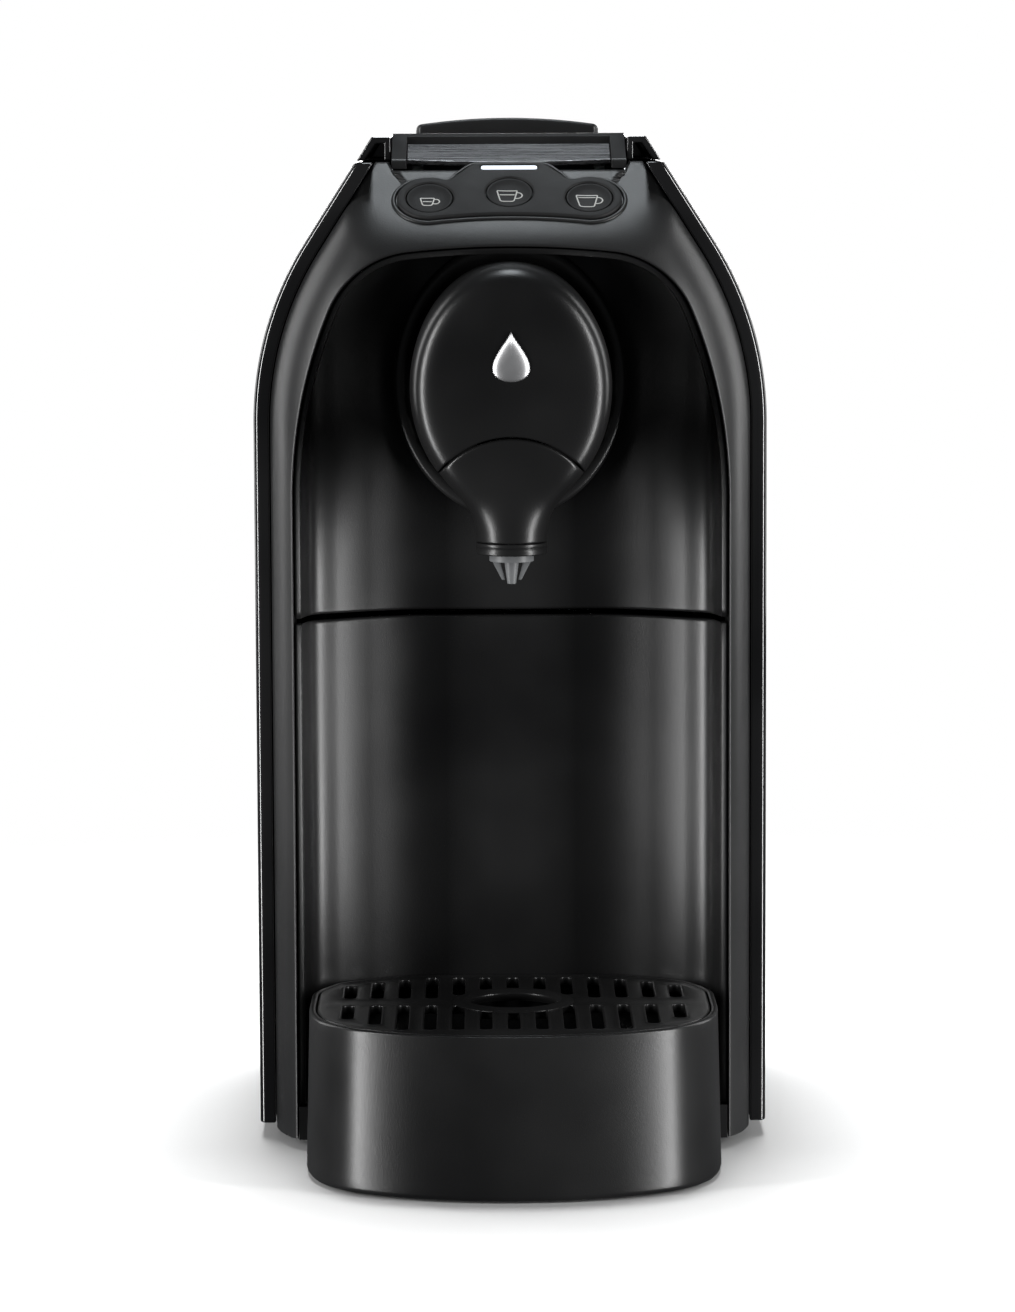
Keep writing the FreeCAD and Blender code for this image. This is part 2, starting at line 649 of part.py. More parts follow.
def make_funnel():
    """The funnel cover: the head's lower front, drawn down into a round neck over the outlet."""
    axis_y = size("outlet_y")
    top = head_solid(0).cut(head_solid(WALL)).common(seam_cylinder(0))
    neck_profile = [Vector(0, axis_y, 221), Vector(12.2, axis_y, 221),
                    (Vector(13.3, axis_y, 231.5), Vector(19, axis_y, 241.5)), Vector(0, axis_y, 241.5)]
    neck = Part.Face(Part.Wire(edges_through(neck_profile))).revolve(Vector(0, axis_y, 0), Vector(0, 0, 1), 360)
    bore = Part.makeCylinder(9.4, 60, Vector(0, axis_y, 200))
    return top.fuse(neck).cut(bore).removeSplitter()


keep("brew_head_cover", feature("brew_head_cover", make_head_cover()))
keep("outlet_funnel", feature("outlet_funnel", make_funnel()))
keep("outlet_collar", turned("outlet_collar", [
    ("9.2", "collar_low"), ("collar_radius", "collar_low"), ("collar_radius", "collar_top-gap"),
    ("9.2", "collar_top-gap")], y="outlet_y"))
flange = turned("nozzle_flange", [
    ("2.6", "collar_low-2.6"), ("7.75", "collar_low-2.6"), ("7.75", "collar_low"), ("9.1", "collar_low"),
    ("9.1", "collar_top"), ("2.6", "collar_top")], y="outlet_y")
fin = padded("nozzle_fin", "XZ_Plane", [("4", "214"), ("6.8", "214"), ("3.4", "207.4"), ("2.2", "207.4")],
             "1.2", y="outlet_y+0.6")
spout = turned("nozzle_spout", [("0.9", "206"), ("1.5", "206"), ("2.6", "214"), ("2.6", "collar_top"),
                                ("0.9", "collar_top")], y="outlet_y")
keep("outlet_nozzle", fuse("nozzle_joined", flange, spout, fin, mirrored("fin_left", fin)))
keep("head_badge", turned("head_badge", [("0", "0"), ("8", "0"), ("8", "0.6"), ("7", "1.4"), ("0", "1.8")],
                          y="head_front", z="head_mid+12", turn=Rotation(Vector(1, 0, 0), 90)))
keep("outlet_tube", cut("outlet_tube_cut", fuse(
    "outlet_tube_blank",
    rod("drop_out", "z", "4", ("collar_top+0.2", "brew_z-21"), "0", "outlet_y"),
    rod("run_out", "y", "4", ("outlet_y", "-36"), "0", "0", "brew_z-21")),
    rod("drop_bore", "z", "2.5", ("collar_top-1", "brew_z-21"), "0", "outlet_y"),
    rod("run_bore", "y", "2.5", ("outlet_y", "-35"), "0", "0", "brew_z-21")))

# ---------------------------------------------------------------- brew works
cup = turned("cup", [
    ("0", "0"), ("chamber_radius", "0"), ("chamber_radius", "capsule_long"),
    ("chamber_radius+3", "capsule_long"), ("chamber_radius+3", "capsule_long+2.6"),
    ("plunger_radius+0.8", "capsule_long+2.6"), ("plunger_radius-1", "4"), ("0", "4")],
    y="-36", z="brew_z", turn=TURNS["y"])
keep("brew_chamber", cup)
keep("chamber_needle", turned("chamber_needle", [("0", "0"), ("6", "0"), ("6", "1.4"), ("1.4", "1.4"), ("0", "7")],
                              y="-32", z="brew_z", turn=TURNS["y"]))

plate = cuboid("works_plate", ("-cheek_out", "cheek_out"), ("-3", "-0.4"), ("240", "299"))
plate_hole = rod("works_hole", "y", "chamber_radius-2", ("-5", "5"), "0", "0", "brew_z")
cheek = cuboid("cheek", ("cheek_in", "cheek_out"), ("-0.4", "bulkhead_front"), ("262", "casing_top-2"))
cheek_window = cuboid("cheek_window", ("cheek_in-1", "cheek_out+1"), ("40", "bulkhead_front-8"), ("296", "casing_top"))
rod_hole = rod("rod_hole", "y", "rod_radius", ("-5", "5"), "rod_x", "0", "rod_z")
pin_hole = rod("pin_hole", "x", "pin_radius", ("cheek_in-1", "cheek_out+1"), "0", "pivot_y", "pivot_z")
axle_hole = rod("axle_hole", "x", "axle_radius", ("cheek_in-1", "cheek_out+1"), "0", "pivot_y",
                "pivot_z-sector_pitch-idler_pitch")
cheek_notch = cuboid("cheek_notch", ("cheek_in-1", "cheek_out+1"), ("-2", "frame_back+0.4"), ("346", "casing_top"))
works_side = cut("works_side", cheek, cheek_window, cheek_notch, pin_hole, axle_hole)
keep("brew_frame", cut("works_cut", fuse("works_blank", plate, works_side, mirrored("works_side_left", works_side)),
                       plate_hole, rod_hole, mirrored("rod_hole_left", rod_hole)))
keep("guide_rods", both_sides("guide_rods", rod("guide_rod", "y", "rod_radius", ("-3", "bulkhead_front"),
                                                "rod_x", "0", "rod_z")))
keep("lever_pins", both_sides("lever_pins", rod("lever_pin", "x", "pin_radius", ("gear_in-0.4", "cheek_out"),
                                                "0", "pivot_y", "pivot_z")))
keep("idler_axles", both_sides("idler_axles", rod("idler_axle", "x", "axle_radius", ("gear_in-0.4", "cheek_out"),
                                                  "0", "pivot_y", "pivot_z-sector_pitch-idler_pitch")))

TOOTH = 0.36  # a tooth's width on the pitch line, as a share of the pitch


def tooth(pitch_radius, angle):
    """One gear tooth in the plane: a wedge between the root and the tip, at an angle from straight down."""
    module = size("gear_module")
    step = pi * module / pitch_radius
    root, tip = pitch_radius - 1.25 * module, pitch_radius + 0.8 * module
    corners = []
    for radius, share in ((root - 1, 1.45), (root, 1.45), (pitch_radius, 1.0), (tip, 0.5)):
        corners.append((radius, step * TOOTH / 2 * share))
    sides = [(radius, angle - half) for radius, half in corners]
    sides += [(radius, angle + half) for radius, half in reversed(corners)]
    points = [Vector(0, radius * sin(turn), -radius * cos(turn)) for radius, turn in sides]
    return Part.Face(Part.Wire(edges_through(points)))


def toothed(pitch_radius, angles, core, bore, x, y, z):
    """Teeth on a core, given the gear's width and bored for its pin."""
    width = Vector(size("gear_wide"), 0, 0)
    solid = core.extrude(width).fuse([tooth(pitch_radius, angle).extrude(width) for angle in angles])
    solid = solid.cut(Part.makeCylinder(bore, 3 * width.x, -width, Vector(1, 0, 0))).removeSplitter()
    solid.translate(Vector(x, y, z))
    return solid


def make_sector():
    """The lever's toothed sector: a wedge of a wheel that hangs below the pivot and to its rear."""
    radius, module = size("sector_pitch"), size("gear_module")
    root = radius - 1.25 * module
    step = pi * 2 / (2 * radius / module)
    angles = [step * index for index in range(6)]
    first, last = -0.16, step * 5 + 0.03
    rim = [Vector(0, root * sin(turn), -root * cos(turn)) for turn in (first, (first + last) / 2, last)]
    wedge = Part.Face(Part.Wire(edges_through([Vector(), rim[0], (rim[1], rim[2])])))
    hub = Part.Face(Part.Wire(Part.makeCircle(value("hub_radius-2"), Vector(), Vector(1, 0, 0))))
    return toothed(radius, angles, wedge.fuse(hub).removeSplitter(), value("pin_radius+fit"), size("gear_in"),
                   size("pivot_y"), size("pivot_z"))


def make_idler():
    radius, module = size("idler_pitch"), size("gear_module")
    count = 8
    root = Part.Face(Part.Wire(Part.makeCircle(radius - 1.25 * module, Vector(), Vector(1, 0, 0))))
    angles = [2 * pi * (index + 0.5) / count for index in range(count)]
    return toothed(radius, angles, root, value("axle_radius+fit"), size("gear_in"), size("pivot_y"),
                   value("pivot_z-sector_pitch-idler_pitch"))


def make_rack():
    """A straight rack under the idler: its pitch line touches the idler's pitch circle."""
    module = size("gear_module")
    pitch_z = value("pivot_z-sector_pitch-idler_pitch-idler_pitch")
    root, tip, pitch = pitch_z - 1.25 * module, pitch_z + 0.8 * module, pi * module
    solid = block((size("gear_in"), size("gear_in") + size("gear_wide")), (-4.5, 28), (pitch_z - 8, root))
    for index in range(-4, 1):
        middle = size("pivot_y") + index * pitch
        corners = [(root - 0.5, 1.45), (root, 1.45), (pitch_z, 1.0), (tip, 0.5)]
        points = [Vector(size("gear_in"), middle - pitch * TOOTH / 2 * share, z) for z, share in corners]
        points += [Vector(size("gear_in"), middle + pitch * TOOTH / 2 * share, z) for z, share in corners[::-1]]
        wedge = Part.Face(Part.Wire(edges_through(points)))
        solid = solid.fuse(wedge.extrude(Vector(size("gear_wide"), 0, 0)))
    return solid.removeSplitter()


keep("lever_sectors", both_sides("lever_sectors", feature("lever_sector", make_sector())))
keep("idler_right", feature("idler_right", make_idler()))
keep("idler_left", mirrored("idler_left_twin", nodes["idler_right"]))
keep("carriage_racks", both_sides("carriage_racks", feature("carriage_rack", make_rack())))

yoke = cuboid("yoke", ("-39", "39"), ("16", "20"), ("262", "pivot_z-sector_pitch-idler_pitch-idler_pitch-8"))
sleeve = rod("sleeve", "y", "rod_radius+3", ("10", "26"), "rod_x", "0", "rod_z")
slide_bore = rod("slide_bore", "y", "rod_radius+fit", ("5", "30"), "rod_x", "0", "rod_z")
keep("plunger_yoke", cut("yoke_cut", fuse("yoke_blank", yoke, sleeve, mirrored("sleeve_left", sleeve)),
                         slide_bore, mirrored("slide_bore_left", slide_bore)))
keep("brew_plunger", turned("brew_plunger", [
    ("0", "-4"), ("plunger_radius-2", "-4"), ("plunger_radius-2", "-2.4"), ("plunger_radius", "-2.4"),
    ("plunger_radius", "6"), ("8", "9"), ("8", "20"), ("0", "20")], y="-4", z="brew_z", turn=TURNS["y"]))
keep("plunger_seal", turned("plunger_seal", [
    ("plunger_radius-2", "-3.8"), ("plunger_radius-0.2", "-3.8"), ("plunger_radius-0.2", "-2.4"),
    ("plunger_radius-2", "-2.4")], y="-4", z="brew_z", turn=TURNS["y"]))

chute_out = cuboid("chute_out", ("-31", "31"), ("-7.6", "31"), ("192", "238"))
chute_in = cuboid("chute_in", ("-29", "29"), ("-5.8", "29"), ("190", "240"))
keep("capsule_chute", cut("capsule_chute_cut", chute_out, chute_in))


# ---------------------------------------------------------------- lever
def lever_profile(drop, x):
    """The lever's side view: a slim front, a rising top and a round back centred on the pivot."""
    pivot_y, pivot_z, arc = size("pivot_y"), size("pivot_z"), size("lever_arc")
    front, front_z = size("lever_front"), size("lever_front_z")
    bend = radians(80)
    start = Vector(x, pivot_y - arc * cos(bend), pivot_z + arc * sin(bend))
    middle = Vector(x, pivot_y + arc * sin(radians(40)), pivot_z + arc * cos(radians(40)))
    end = Vector(x, pivot_y + arc, pivot_z)
    points = [Vector(x, front, front_z - 3.6), Vector(x, front, front_z - 1.6),
              (Vector(x, front + 0.5, front_z - 0.5), Vector(x, front + 1.6, front_z)), start, (middle, end),
              (Vector(x, pivot_y + arc - 1.6, pivot_z - 1.1), Vector(x, pivot_y + arc - 3.4, pivot_z)),
              Vector(x, pivot_y + 8, pivot_z + drop), Vector(x, pivot_y - 6, pivot_z + drop)]
    return Part.Face(Part.Wire(edges_through(points)))


def make_lever():
    half, arm = size("lever_half"), size("arm_wide")
    solid = lever_profile(4.2, -half).extrude(Vector(2 * half, 0, 0))
    window = block((-half + arm, half - arm), (-30, size("pivot_y") - 5.2), (300, 400))
    inside = block((-half + arm, half - arm), (size("pivot_y") - 2.4, size("pivot_y") + size("lever_arc") - 2.4),
                   (300, size("pivot_z") + 9))
    hubs = []
    for side in (-1, 1):
        hub = Part.makeCylinder(size("hub_radius"), half - size("gear_in") - size("gear_wide"),
                                Vector(side * (size("gear_in") + size("gear_wide")), size("pivot_y"),
                                       size("pivot_z")), Vector(side, 0, 0))
        hubs.append(hub)
    bore = Part.makeCylinder(value("pin_radius+fit"), 2 * half + 2, Vector(-half - 1, size("pivot_y"),
                             size("pivot_z")), Vector(1, 0, 0))
    return solid.cut(window).cut(inside).fuse(hubs).cut(bore).removeSplitter()


keep("lever_bracket", feature("lever_bracket", make_lever()))


def make_lever_plate():
    """The brushed plate in the lever's window: it bows forward and stops short to leave a finger gap."""
    half = value("lever_half-arm_wide") - 0.15
    back, front = value("pivot_y-5.2") - 0.1, size("lever_front") + 3.2
    points = [Vector(-half, front + 2.6, 0), (Vector(0, front, 0), Vector(half, front + 2.6, 0)),
              Vector(half, back, 0), Vector(-half, back, 0)]
    plate = Part.Face(Part.Wire(edges_through(points))).extrude(Vector(0, 0, 1.8))
    rise = (size("pivot_z") + size("lever_arc") - size("lever_front_z")) / (size("pivot_y") - size("lever_front"))
    plate.rotate(Vector(0, front, 0), Vector(1, 0, 0), degrees(asin(rise)))
    plate.translate(Vector(0, 0, size("lever_front_z") - 2.9))
    return plate


keep("lever_plate", feature("lever_plate", make_lever_plate()))


# ---------------------------------------------------------------- controls
def make_panel():
    proud = size("panel_proud")
    panel = panel_block(0, proud - size("panel_thick"), proud)
    for across, up in ((-size("button_x"), size("button_v")), (0, size("middle_v")),
                       (size("button_x"), size("button_v"))):
        hole = Part.makeCylinder(value("button_radius+gap"), 20)
        hole.Placement = Placement(on_fascia(up, -10, across), Rotation(Vector(1, 0, 0), size("fascia_tilt")))
        panel = panel.cut(hole)
    slot = block((-value("light_half+0.1"), value("light_half+0.1")),
                 (-value("light_tall+0.2") / 2, value("light_tall+0.2") / 2), (-10, 10))
    slot.Placement = fascia_place(size("light_v"))
    return panel.cut(slot)


keep("button_panel", feature("button_panel", make_panel()))
BUTTONS = {"button_small": ("-button_x", "button_v"), "button_medium": ("0", "middle_v"),
           "button_large": ("button_x", "button_v")}
SLOPE = Rotation(Vector(1, 0, 0), size("fascia_tilt"))
slope_cos, slope_sin = cos(radians(size("fascia_tilt"))), sin(radians(size("fascia_tilt")))
for label, (across, up) in BUTTONS.items():
    button = turned(label, [("0", "-3.4"), ("button_radius-1", "-3.4"), ("button_radius-1", "-2"),
                            ("button_radius", "-2"), ("button_radius", "panel_proud-0.1"),
                            ("button_radius-0.8", "panel_proud-0.1"), ("button_radius-3", "panel_proud-1"),
                            ("0", "panel_proud-1.3")])
    place(button, across, f"bezel_front+{up}*{slope_cos:.6f}", f"fascia_low+{up}*{slope_sin:.6f}", SLOPE)
    keep(label, button)
lamp = cuboid("light_bar_box", ("-light_half", "light_half"), ("-light_tall/2", "light_tall/2"), ("-3.6", "panel_proud"))
lamp = rounded("light_bar_rounded", lamp, "light_tall/2-0.05", along("z"))
lamp_holder = doc.addObject("Part::Compound", "light_bar")
lamp_holder.Links = [lamp]
lamp_holder.Placement = fascia_place(size("light_v"))
keep("light_bar", lamp_holder)
control_board = cuboid("board_blank", ("-34", "34"), ("14.5", "38"), ("-7.4", "-5.8"))
switch_body = [rod(f"switch_{index}", "z", "3", ("-5.8", "-4.8"), across, up)
               for index, (across, up) in enumerate(BUTTONS.values())]
board = doc.addObject("Part::Compound", "board_compound")
board.Links = [fuse("board_joined", control_board, *switch_body)]
board.Placement = fascia_place(0)
keep("button_board", board)


# ---------------------------------------------------------------- water tank
def tank_block(inset, low, high, front, back):
    """The tank's outer form: the casing outline with its two rear corners rounded."""
    solid = thick(body_outline(GAP + inset, min(low, 100), high, front), back - front)
    half, corner = size("body_half") - GAP - inset, size("tank_corner") - inset
    turn = corner * (1 - sqrt(0.5))
    points = [Vector(-half, front, low), Vector(-half, back - corner, low),
              (Vector(-half + turn, back - turn, low), Vector(-half + corner, back, low)),
              Vector(half - corner, back, low),
              (Vector(half - turn, back - turn, low), Vector(half, back - corner, low)), Vector(half, front, low)]
    plan = Part.Face(Part.Wire(edges_through(points))).extrude(Vector(0, 0, high - low))
    return solid.common(plan)


def make_tank():
    low, high = size("tank_low"), size("tank_top")
    front, back = size("tank_front"), size("machine_back")
    outer = tank_block(0, low, high, front, back)
    inner = tank_block(SKIN, low + SKIN, high + 1, front + SKIN, back - SKIN)
    hole = Part.makeCylinder(value("valve_radius-2.4"), 30, Vector(0, size("valve_y"), low - 5))
    return outer.cut(inner).cut(hole)


def make_lid():
    low, high = size("lid_low"), size("housing_top")
    front, back = size("tank_front"), size("machine_back")
    outer = tank_block(0, low, high, front, back)
    inner = tank_block(SKIN, low - 1, high - SKIN, front + SKIN, back - SKIN)
    return outer.cut(inner)


keep("water_tank", feature("water_tank", make_tank()))
keep("tank_lid", feature("tank_lid", make_lid()))


def make_grip():
    """The lid's finger bar: a slim arched bar with round ends."""
    half, y, deep = size("grip_half"), size("grip_y"), size("grip_deep")
    low, high = size("housing_top"), size("grip_top")
    face = Part.Face(Part.Wire(edges_through([
        Vector(-half, y, low), Vector(-half, y, high - 3.6), (Vector(0, y, high), Vector(half, y, high - 3.6)),
        Vector(half, y, low)])))
    bar = face.extrude(Vector(0, deep, 0))
    sharp = [edge for edge in bar.Edges if edge.BoundBox.ZMin > low + 0.1]
    return bar.makeFillet(1.2, sharp)


keep("lid_grip", feature("lid_grip", make_grip()))
collar_ring = turned("valve_collar_body", [
    ("valve_radius-2.5", "tank_low+skin"), ("valve_radius-2.5", "tank_low+skin+4"),
    ("valve_radius+1", "tank_low+skin+4"), ("valve_radius+1", "tank_low+skin")],
    y="valve_y")
cage = cuboid("valve_cage", ("-valve_radius", "valve_radius"), ("valve_y-1.5", "valve_y+1.5"),
              ("tank_low+skin+4", "tank_low+skin+6"))
cage_hole = rod("valve_cage_hole", "z", "2+fit", ("tank_low", "tank_low+20"), "0", "valve_y")
keep("valve_collar", cut("valve_collar_cut", fuse("valve_collar_blank", collar_ring, cage), cage_hole))
keep("tank_valve", turned("tank_valve", [
    ("0", "tank_low-2"), ("3", "tank_low-2"), ("3", "tank_low+1"), ("valve_radius-3", "tank_low+1"),
    ("valve_radius-3", "tank_low+2"), ("2", "tank_low+2"), ("2", "tank_low+skin+9"), ("0", "tank_low+skin+9")],
    y="valve_y"))
keep("tank_seat", turned("tank_seat", [
    ("4", "tank_low-9"), ("valve_radius+1.9", "tank_low-9"), ("valve_radius+1.9", "tank_low-0.4"),
    ("valve_radius+0.4", "tank_low-0.4"), ("valve_radius+0.4", "tank_low-6"), ("4", "tank_low-6")], y="valve_y"))
keep("tank_gasket", turned("tank_gasket", [
    ("4.4", "tank_low-6"), ("valve_radius+0.4", "tank_low-6"), ("valve_radius+0.4", "tank_low-4"),
    ("4.4", "tank_low-4")], y="valve_y"))

# ---------------------------------------------------------------- water works
keep("pump_body", turned("pump_body", [
    ("0", "0"), ("5", "0"), ("5", "12"), ("15", "12"), ("15", "56"), ("6", "56"), ("6", "68"), ("0", "68")],
    x="-64", y="57", z="44", turn=TURNS["x"]))
coil_out = cuboid("coil_out", ("-48", "-12"), ("40.5", "73.5"), ("27.5", "60.5"))
coil_bore = rod("coil_bore", "x", "15", ("-60", "0"), "0", "57", "44")
keep("pump_coil", cut("pump_coil_cut", coil_out, coil_bore))
mount_out = cuboid("mount_out", ("-58", "-53"), ("44", "70"), ("base_low+base_thick", "52"))
mount_bore = rod("mount_bore", "x", "5", ("-60", "-50"), "0", "57", "44")
far_mount = cuboid("far_mount", ("-6", "-1"), ("44", "70"), ("base_low+base_thick", "52"))
far_bore = rod("far_bore", "x", "6", ("-9", "3"), "0", "57", "44")
mounts = doc.addObject("Part::Compound", "mounts")
mounts.Links = [cut("mount_near", mount_out, mount_bore), cut("mount_far", far_mount, far_bore)]
keep("pump_mounts", mounts)
keep("flow_meter", turned("flow_meter", [
    ("0", "0"), ("7", "0"), ("11", "3"), ("11", "13"), ("5", "13"), ("5", "16"), ("0", "16")],
    x="-80.2", y="57", z="44", turn=TURNS["x"]))
keep("thermoblock", rounded("thermoblock", cuboid("thermo_blank", ("4", "64"), ("44", "72"), ("96", "166")), "6",
                            along("y")))
keep("thermostat", turned("thermostat", [("0", "0"), ("7", "0"), ("7", "5"), ("3", "8"), ("0", "8")],
                          x="34", y="57", z="166"))
keep("main_board", fuse("main_board_joined", cuboid("board_plate", ("-70", "-6"), ("69", "70.6"), ("110", "200")),
                        cuboid("relay", ("-60", "-44"), ("57", "69"), ("126", "150")),
                        cuboid("capacitor", ("-38", "-26"), ("54", "69"), ("126", "150")),
                        cuboid("terminal", ("-62", "-22"), ("64", "69"), ("170", "180"))))


def hose_shape(points, radius, bore):
    """A hose along straight runs joined by arcs, each arc's radius half of its shorter run."""
    edges, here = [], points[0]
    for before, corner, after in zip(points, points[1:], points[2:]):
        into, out = (corner - before), (after - corner)
        turn = into.getAngle(out)
        reach = 0.45 * min(into.Length, out.Length)
        into.normalize()
        out.normalize()
        start, end = corner - into * reach, corner + out * reach
        inward = (out - into).normalize()
        bend = reach / tan(turn / 2)
        middle = corner + inward * (bend / cos(turn / 2) - bend)
        edges.append(Part.LineSegment(here, start).toShape())
        edges.append(Part.Arc(start, middle, end).toShape())
        here = end
    edges.append(Part.LineSegment(here, points[-1]).toShape())
    path = Part.Wire(edges)
    way = (points[1] - points[0]).normalize()
    solids = [path.makePipeShell([Part.Wire(Part.makeCircle(size_now, points[0], way))], True, False)
              for size_now in (radius, bore)]
    return solids[0].cut(solids[1])


keep("feed_hose", feature("feed_hose", hose_shape(
    [Vector(-11, 98, 9.8), Vector(-72, 98, 9.8), Vector(-72, 57, 9.8), Vector(-72, 57, 32.9)], 2.8, 1.6)))
keep("pump_hose", feature("pump_hose", hose_shape(
    [Vector(4.2, 57, 44), Vector(26, 57, 44), Vector(34, 57, 66), Vector(34, 57, 95.9)], 3, 1.8)))
keep("brew_hose", feature("brew_hose", hose_shape(
    [Vector(56, 57, 166.1), Vector(56, 57, 212), Vector(56, -1.7, 212), Vector(38, -1.7, 212),
     Vector(38, -1.7, 239.8)], 3, 1.8)))

# ---------------------------------------------------------------- mains, switches and screws
keep("mains_inlet", cut("mains_inlet_cut",
                        cuboid("inlet_body", ("58", "80"), ("machine_back-5.8", "machine_back-1"), ("4.6", "12.4")),
                        rod("cord_hole", "y", "2.6", ("machine_back-9", "machine_back+1"), "69", "0", "8.5")))
keep("lever_switch", rounded("lever_switch", cuboid("switch_block", ("-40.5", "-36"), ("30", "38"), ("322", "332")),
                             "0.6", along("x")))


# ---------------------------------------------------------------- check and write
doc.recompute()
failed = [item.Name for item in doc.Objects if set(item.State) & {"Invalid", "Error"}]
if failed:
    raise SystemExit(f"failed objects: {failed}")
os.makedirs("parts", exist_ok=True)
for label, made in nodes.items():
    shape = made.Shape
    if shape.isNull() or not shape.isValid() or not shape.Solids:
        raise SystemExit(f"{label} has no sound shape")
    shape.exportStep(f"parts/{label}.step")
whole = Part.makeCompound([made.Shape for made in nodes.values()]).BoundBox
print({label: len(made.Shape.Solids) for label, made in nodes.items() if len(made.Shape.Solids) > 1})
print(f"{len(nodes)} pieces, {whole.XLength:.1f} x {whole.YLength:.1f} x {whole.ZLength:.1f} mm")
print(f"box {whole.XMin:.2f} {whole.YMin:.2f} {whole.ZMin:.2f} to {whole.XMax:.2f} {whole.YMax:.2f} {whole.ZMax:.2f}")
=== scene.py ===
# %% [markdown]
# # A pod coffee machine, dressed around its working frame
# The frame holds every working part at its real size. This lesson gives the outer pieces their soft
# edges and hollow curves, and every piece its finish. Lengths below are millimetres until they reach a mesh.

# %% Load the frame
import json
import math
import bmesh
import bpy
import numpy as np
from mathutils import Matrix, Vector
from mathutils.geometry import delaunay_2d_cdt


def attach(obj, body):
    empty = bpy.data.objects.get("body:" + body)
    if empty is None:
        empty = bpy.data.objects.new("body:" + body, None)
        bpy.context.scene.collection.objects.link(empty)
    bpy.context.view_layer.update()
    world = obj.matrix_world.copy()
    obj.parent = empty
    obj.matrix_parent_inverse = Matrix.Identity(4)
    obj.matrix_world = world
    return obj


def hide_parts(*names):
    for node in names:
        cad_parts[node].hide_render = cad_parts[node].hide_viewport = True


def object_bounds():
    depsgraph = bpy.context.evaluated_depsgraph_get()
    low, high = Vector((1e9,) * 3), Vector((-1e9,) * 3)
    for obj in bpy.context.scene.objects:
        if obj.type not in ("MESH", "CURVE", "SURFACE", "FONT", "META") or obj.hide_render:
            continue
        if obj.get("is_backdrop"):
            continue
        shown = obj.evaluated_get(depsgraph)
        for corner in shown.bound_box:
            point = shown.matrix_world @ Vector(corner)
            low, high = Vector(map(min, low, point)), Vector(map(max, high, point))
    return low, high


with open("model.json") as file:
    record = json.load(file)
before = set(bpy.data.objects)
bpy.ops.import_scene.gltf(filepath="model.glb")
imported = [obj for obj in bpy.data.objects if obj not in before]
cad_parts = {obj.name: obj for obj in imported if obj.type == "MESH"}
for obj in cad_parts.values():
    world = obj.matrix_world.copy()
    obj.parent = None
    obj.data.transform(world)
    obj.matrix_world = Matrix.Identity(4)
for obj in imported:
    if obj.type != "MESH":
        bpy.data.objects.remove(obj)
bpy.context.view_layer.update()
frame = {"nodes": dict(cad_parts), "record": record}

MM = 0.001
BODY_OF = {node: body for body, nodes in frame["record"]["behaviour"]["bodies"].items() for node in nodes}

# %% [markdown]
# ## The camera
# A product camera stands well back with a long lens, so that upright edges stay nearly parallel. It is a
# little to the left, looks slightly down, and is aimed by three small angles.

# %% Camera
CAMERA_AT = (-11.5, -1686.5, 372.0)
LOOK_DOWN, LOOK_RIGHT, ROLL = 6.72, 0.35, 0.23
camera_data = bpy.data.cameras.new("camera")
camera_data.sensor_fit = "VERTICAL"
camera_data.sensor_height = camera_data.sensor_width = 36
camera_data.lens = 128.2
camera_data.clip_end = 60
camera = bpy.data.objects.new("camera", camera_data)
bpy.context.scene.collection.objects.link(camera)
down, right = math.radians(LOOK_DOWN), math.radians(LOOK_RIGHT)
aim = Vector((math.sin(right) * math.cos(down), math.cos(right) * math.cos(down), -math.sin(down)))
level = aim.to_track_quat("-Z", "Y").to_matrix().to_4x4()
turned = level @ Matrix.Rotation(math.radians(-ROLL), 4, "Z")
camera.matrix_world = Matrix.Translation(Vector(CAMERA_AT) * MM) @ turned
bpy.context.scene.camera = camera
print("camera lens", camera_data.lens)

# %% [markdown]
# ## Light
# Black plastic shows only what it mirrors. Two tall strip boxes, front left and front right, draw the soft
# upright lines. They reach below the floor, so that faces seen from above mirror them too. A narrow box
# overhead lights the sloping controls, three more wait behind, and a dim room keeps the rest black.

# %% World and lamps
scene = bpy.context.scene
scene.view_settings.view_transform = "Standard"
world = bpy.data.worlds.new("studio")
scene.world = world
world.use_nodes = True
wn, wl = world.node_tree.nodes, world.node_tree.links
wn.clear()
ROOM, PAPER = 0.055, 1.0
seen, room = wn.new("ShaderNodeBackground"), wn.new("ShaderNodeBackground")
seen.inputs["Color"].default_value = (1, 1, 1, 1)
seen.inputs["Strength"].default_value = PAPER
room.inputs["Color"].default_value = (0.93, 0.96, 1.0, 1)
room.inputs["Strength"].default_value = ROOM
path, which = wn.new("ShaderNodeLightPath"), wn.new("ShaderNodeMixShader")
out = wn.new("ShaderNodeOutputWorld")
wl.new(path.outputs["Is Camera Ray"], which.inputs["Fac"])
wl.new(room.outputs[0], which.inputs[1])
wl.new(seen.outputs[0], which.inputs[2])
wl.new(which.outputs[0], out.inputs["Surface"])


def lamp(name, at, target, size, power, colour=(1, 1, 1)):
    """A soft box: a rectangle of light at a place in metres, turned to face a target."""
    data = bpy.data.lights.new(name, "AREA")
    data.shape, data.size, data.size_y = "RECTANGLE", size[0], size[1]
    data.energy, data.color = power, colour
    made = bpy.data.objects.new(name, data)
    made.location = at
    made.rotation_euler = (Vector(target) - Vector(at)).to_track_quat("-Z", "Y").to_euler()
    scene.collection.objects.link(made)
    return made


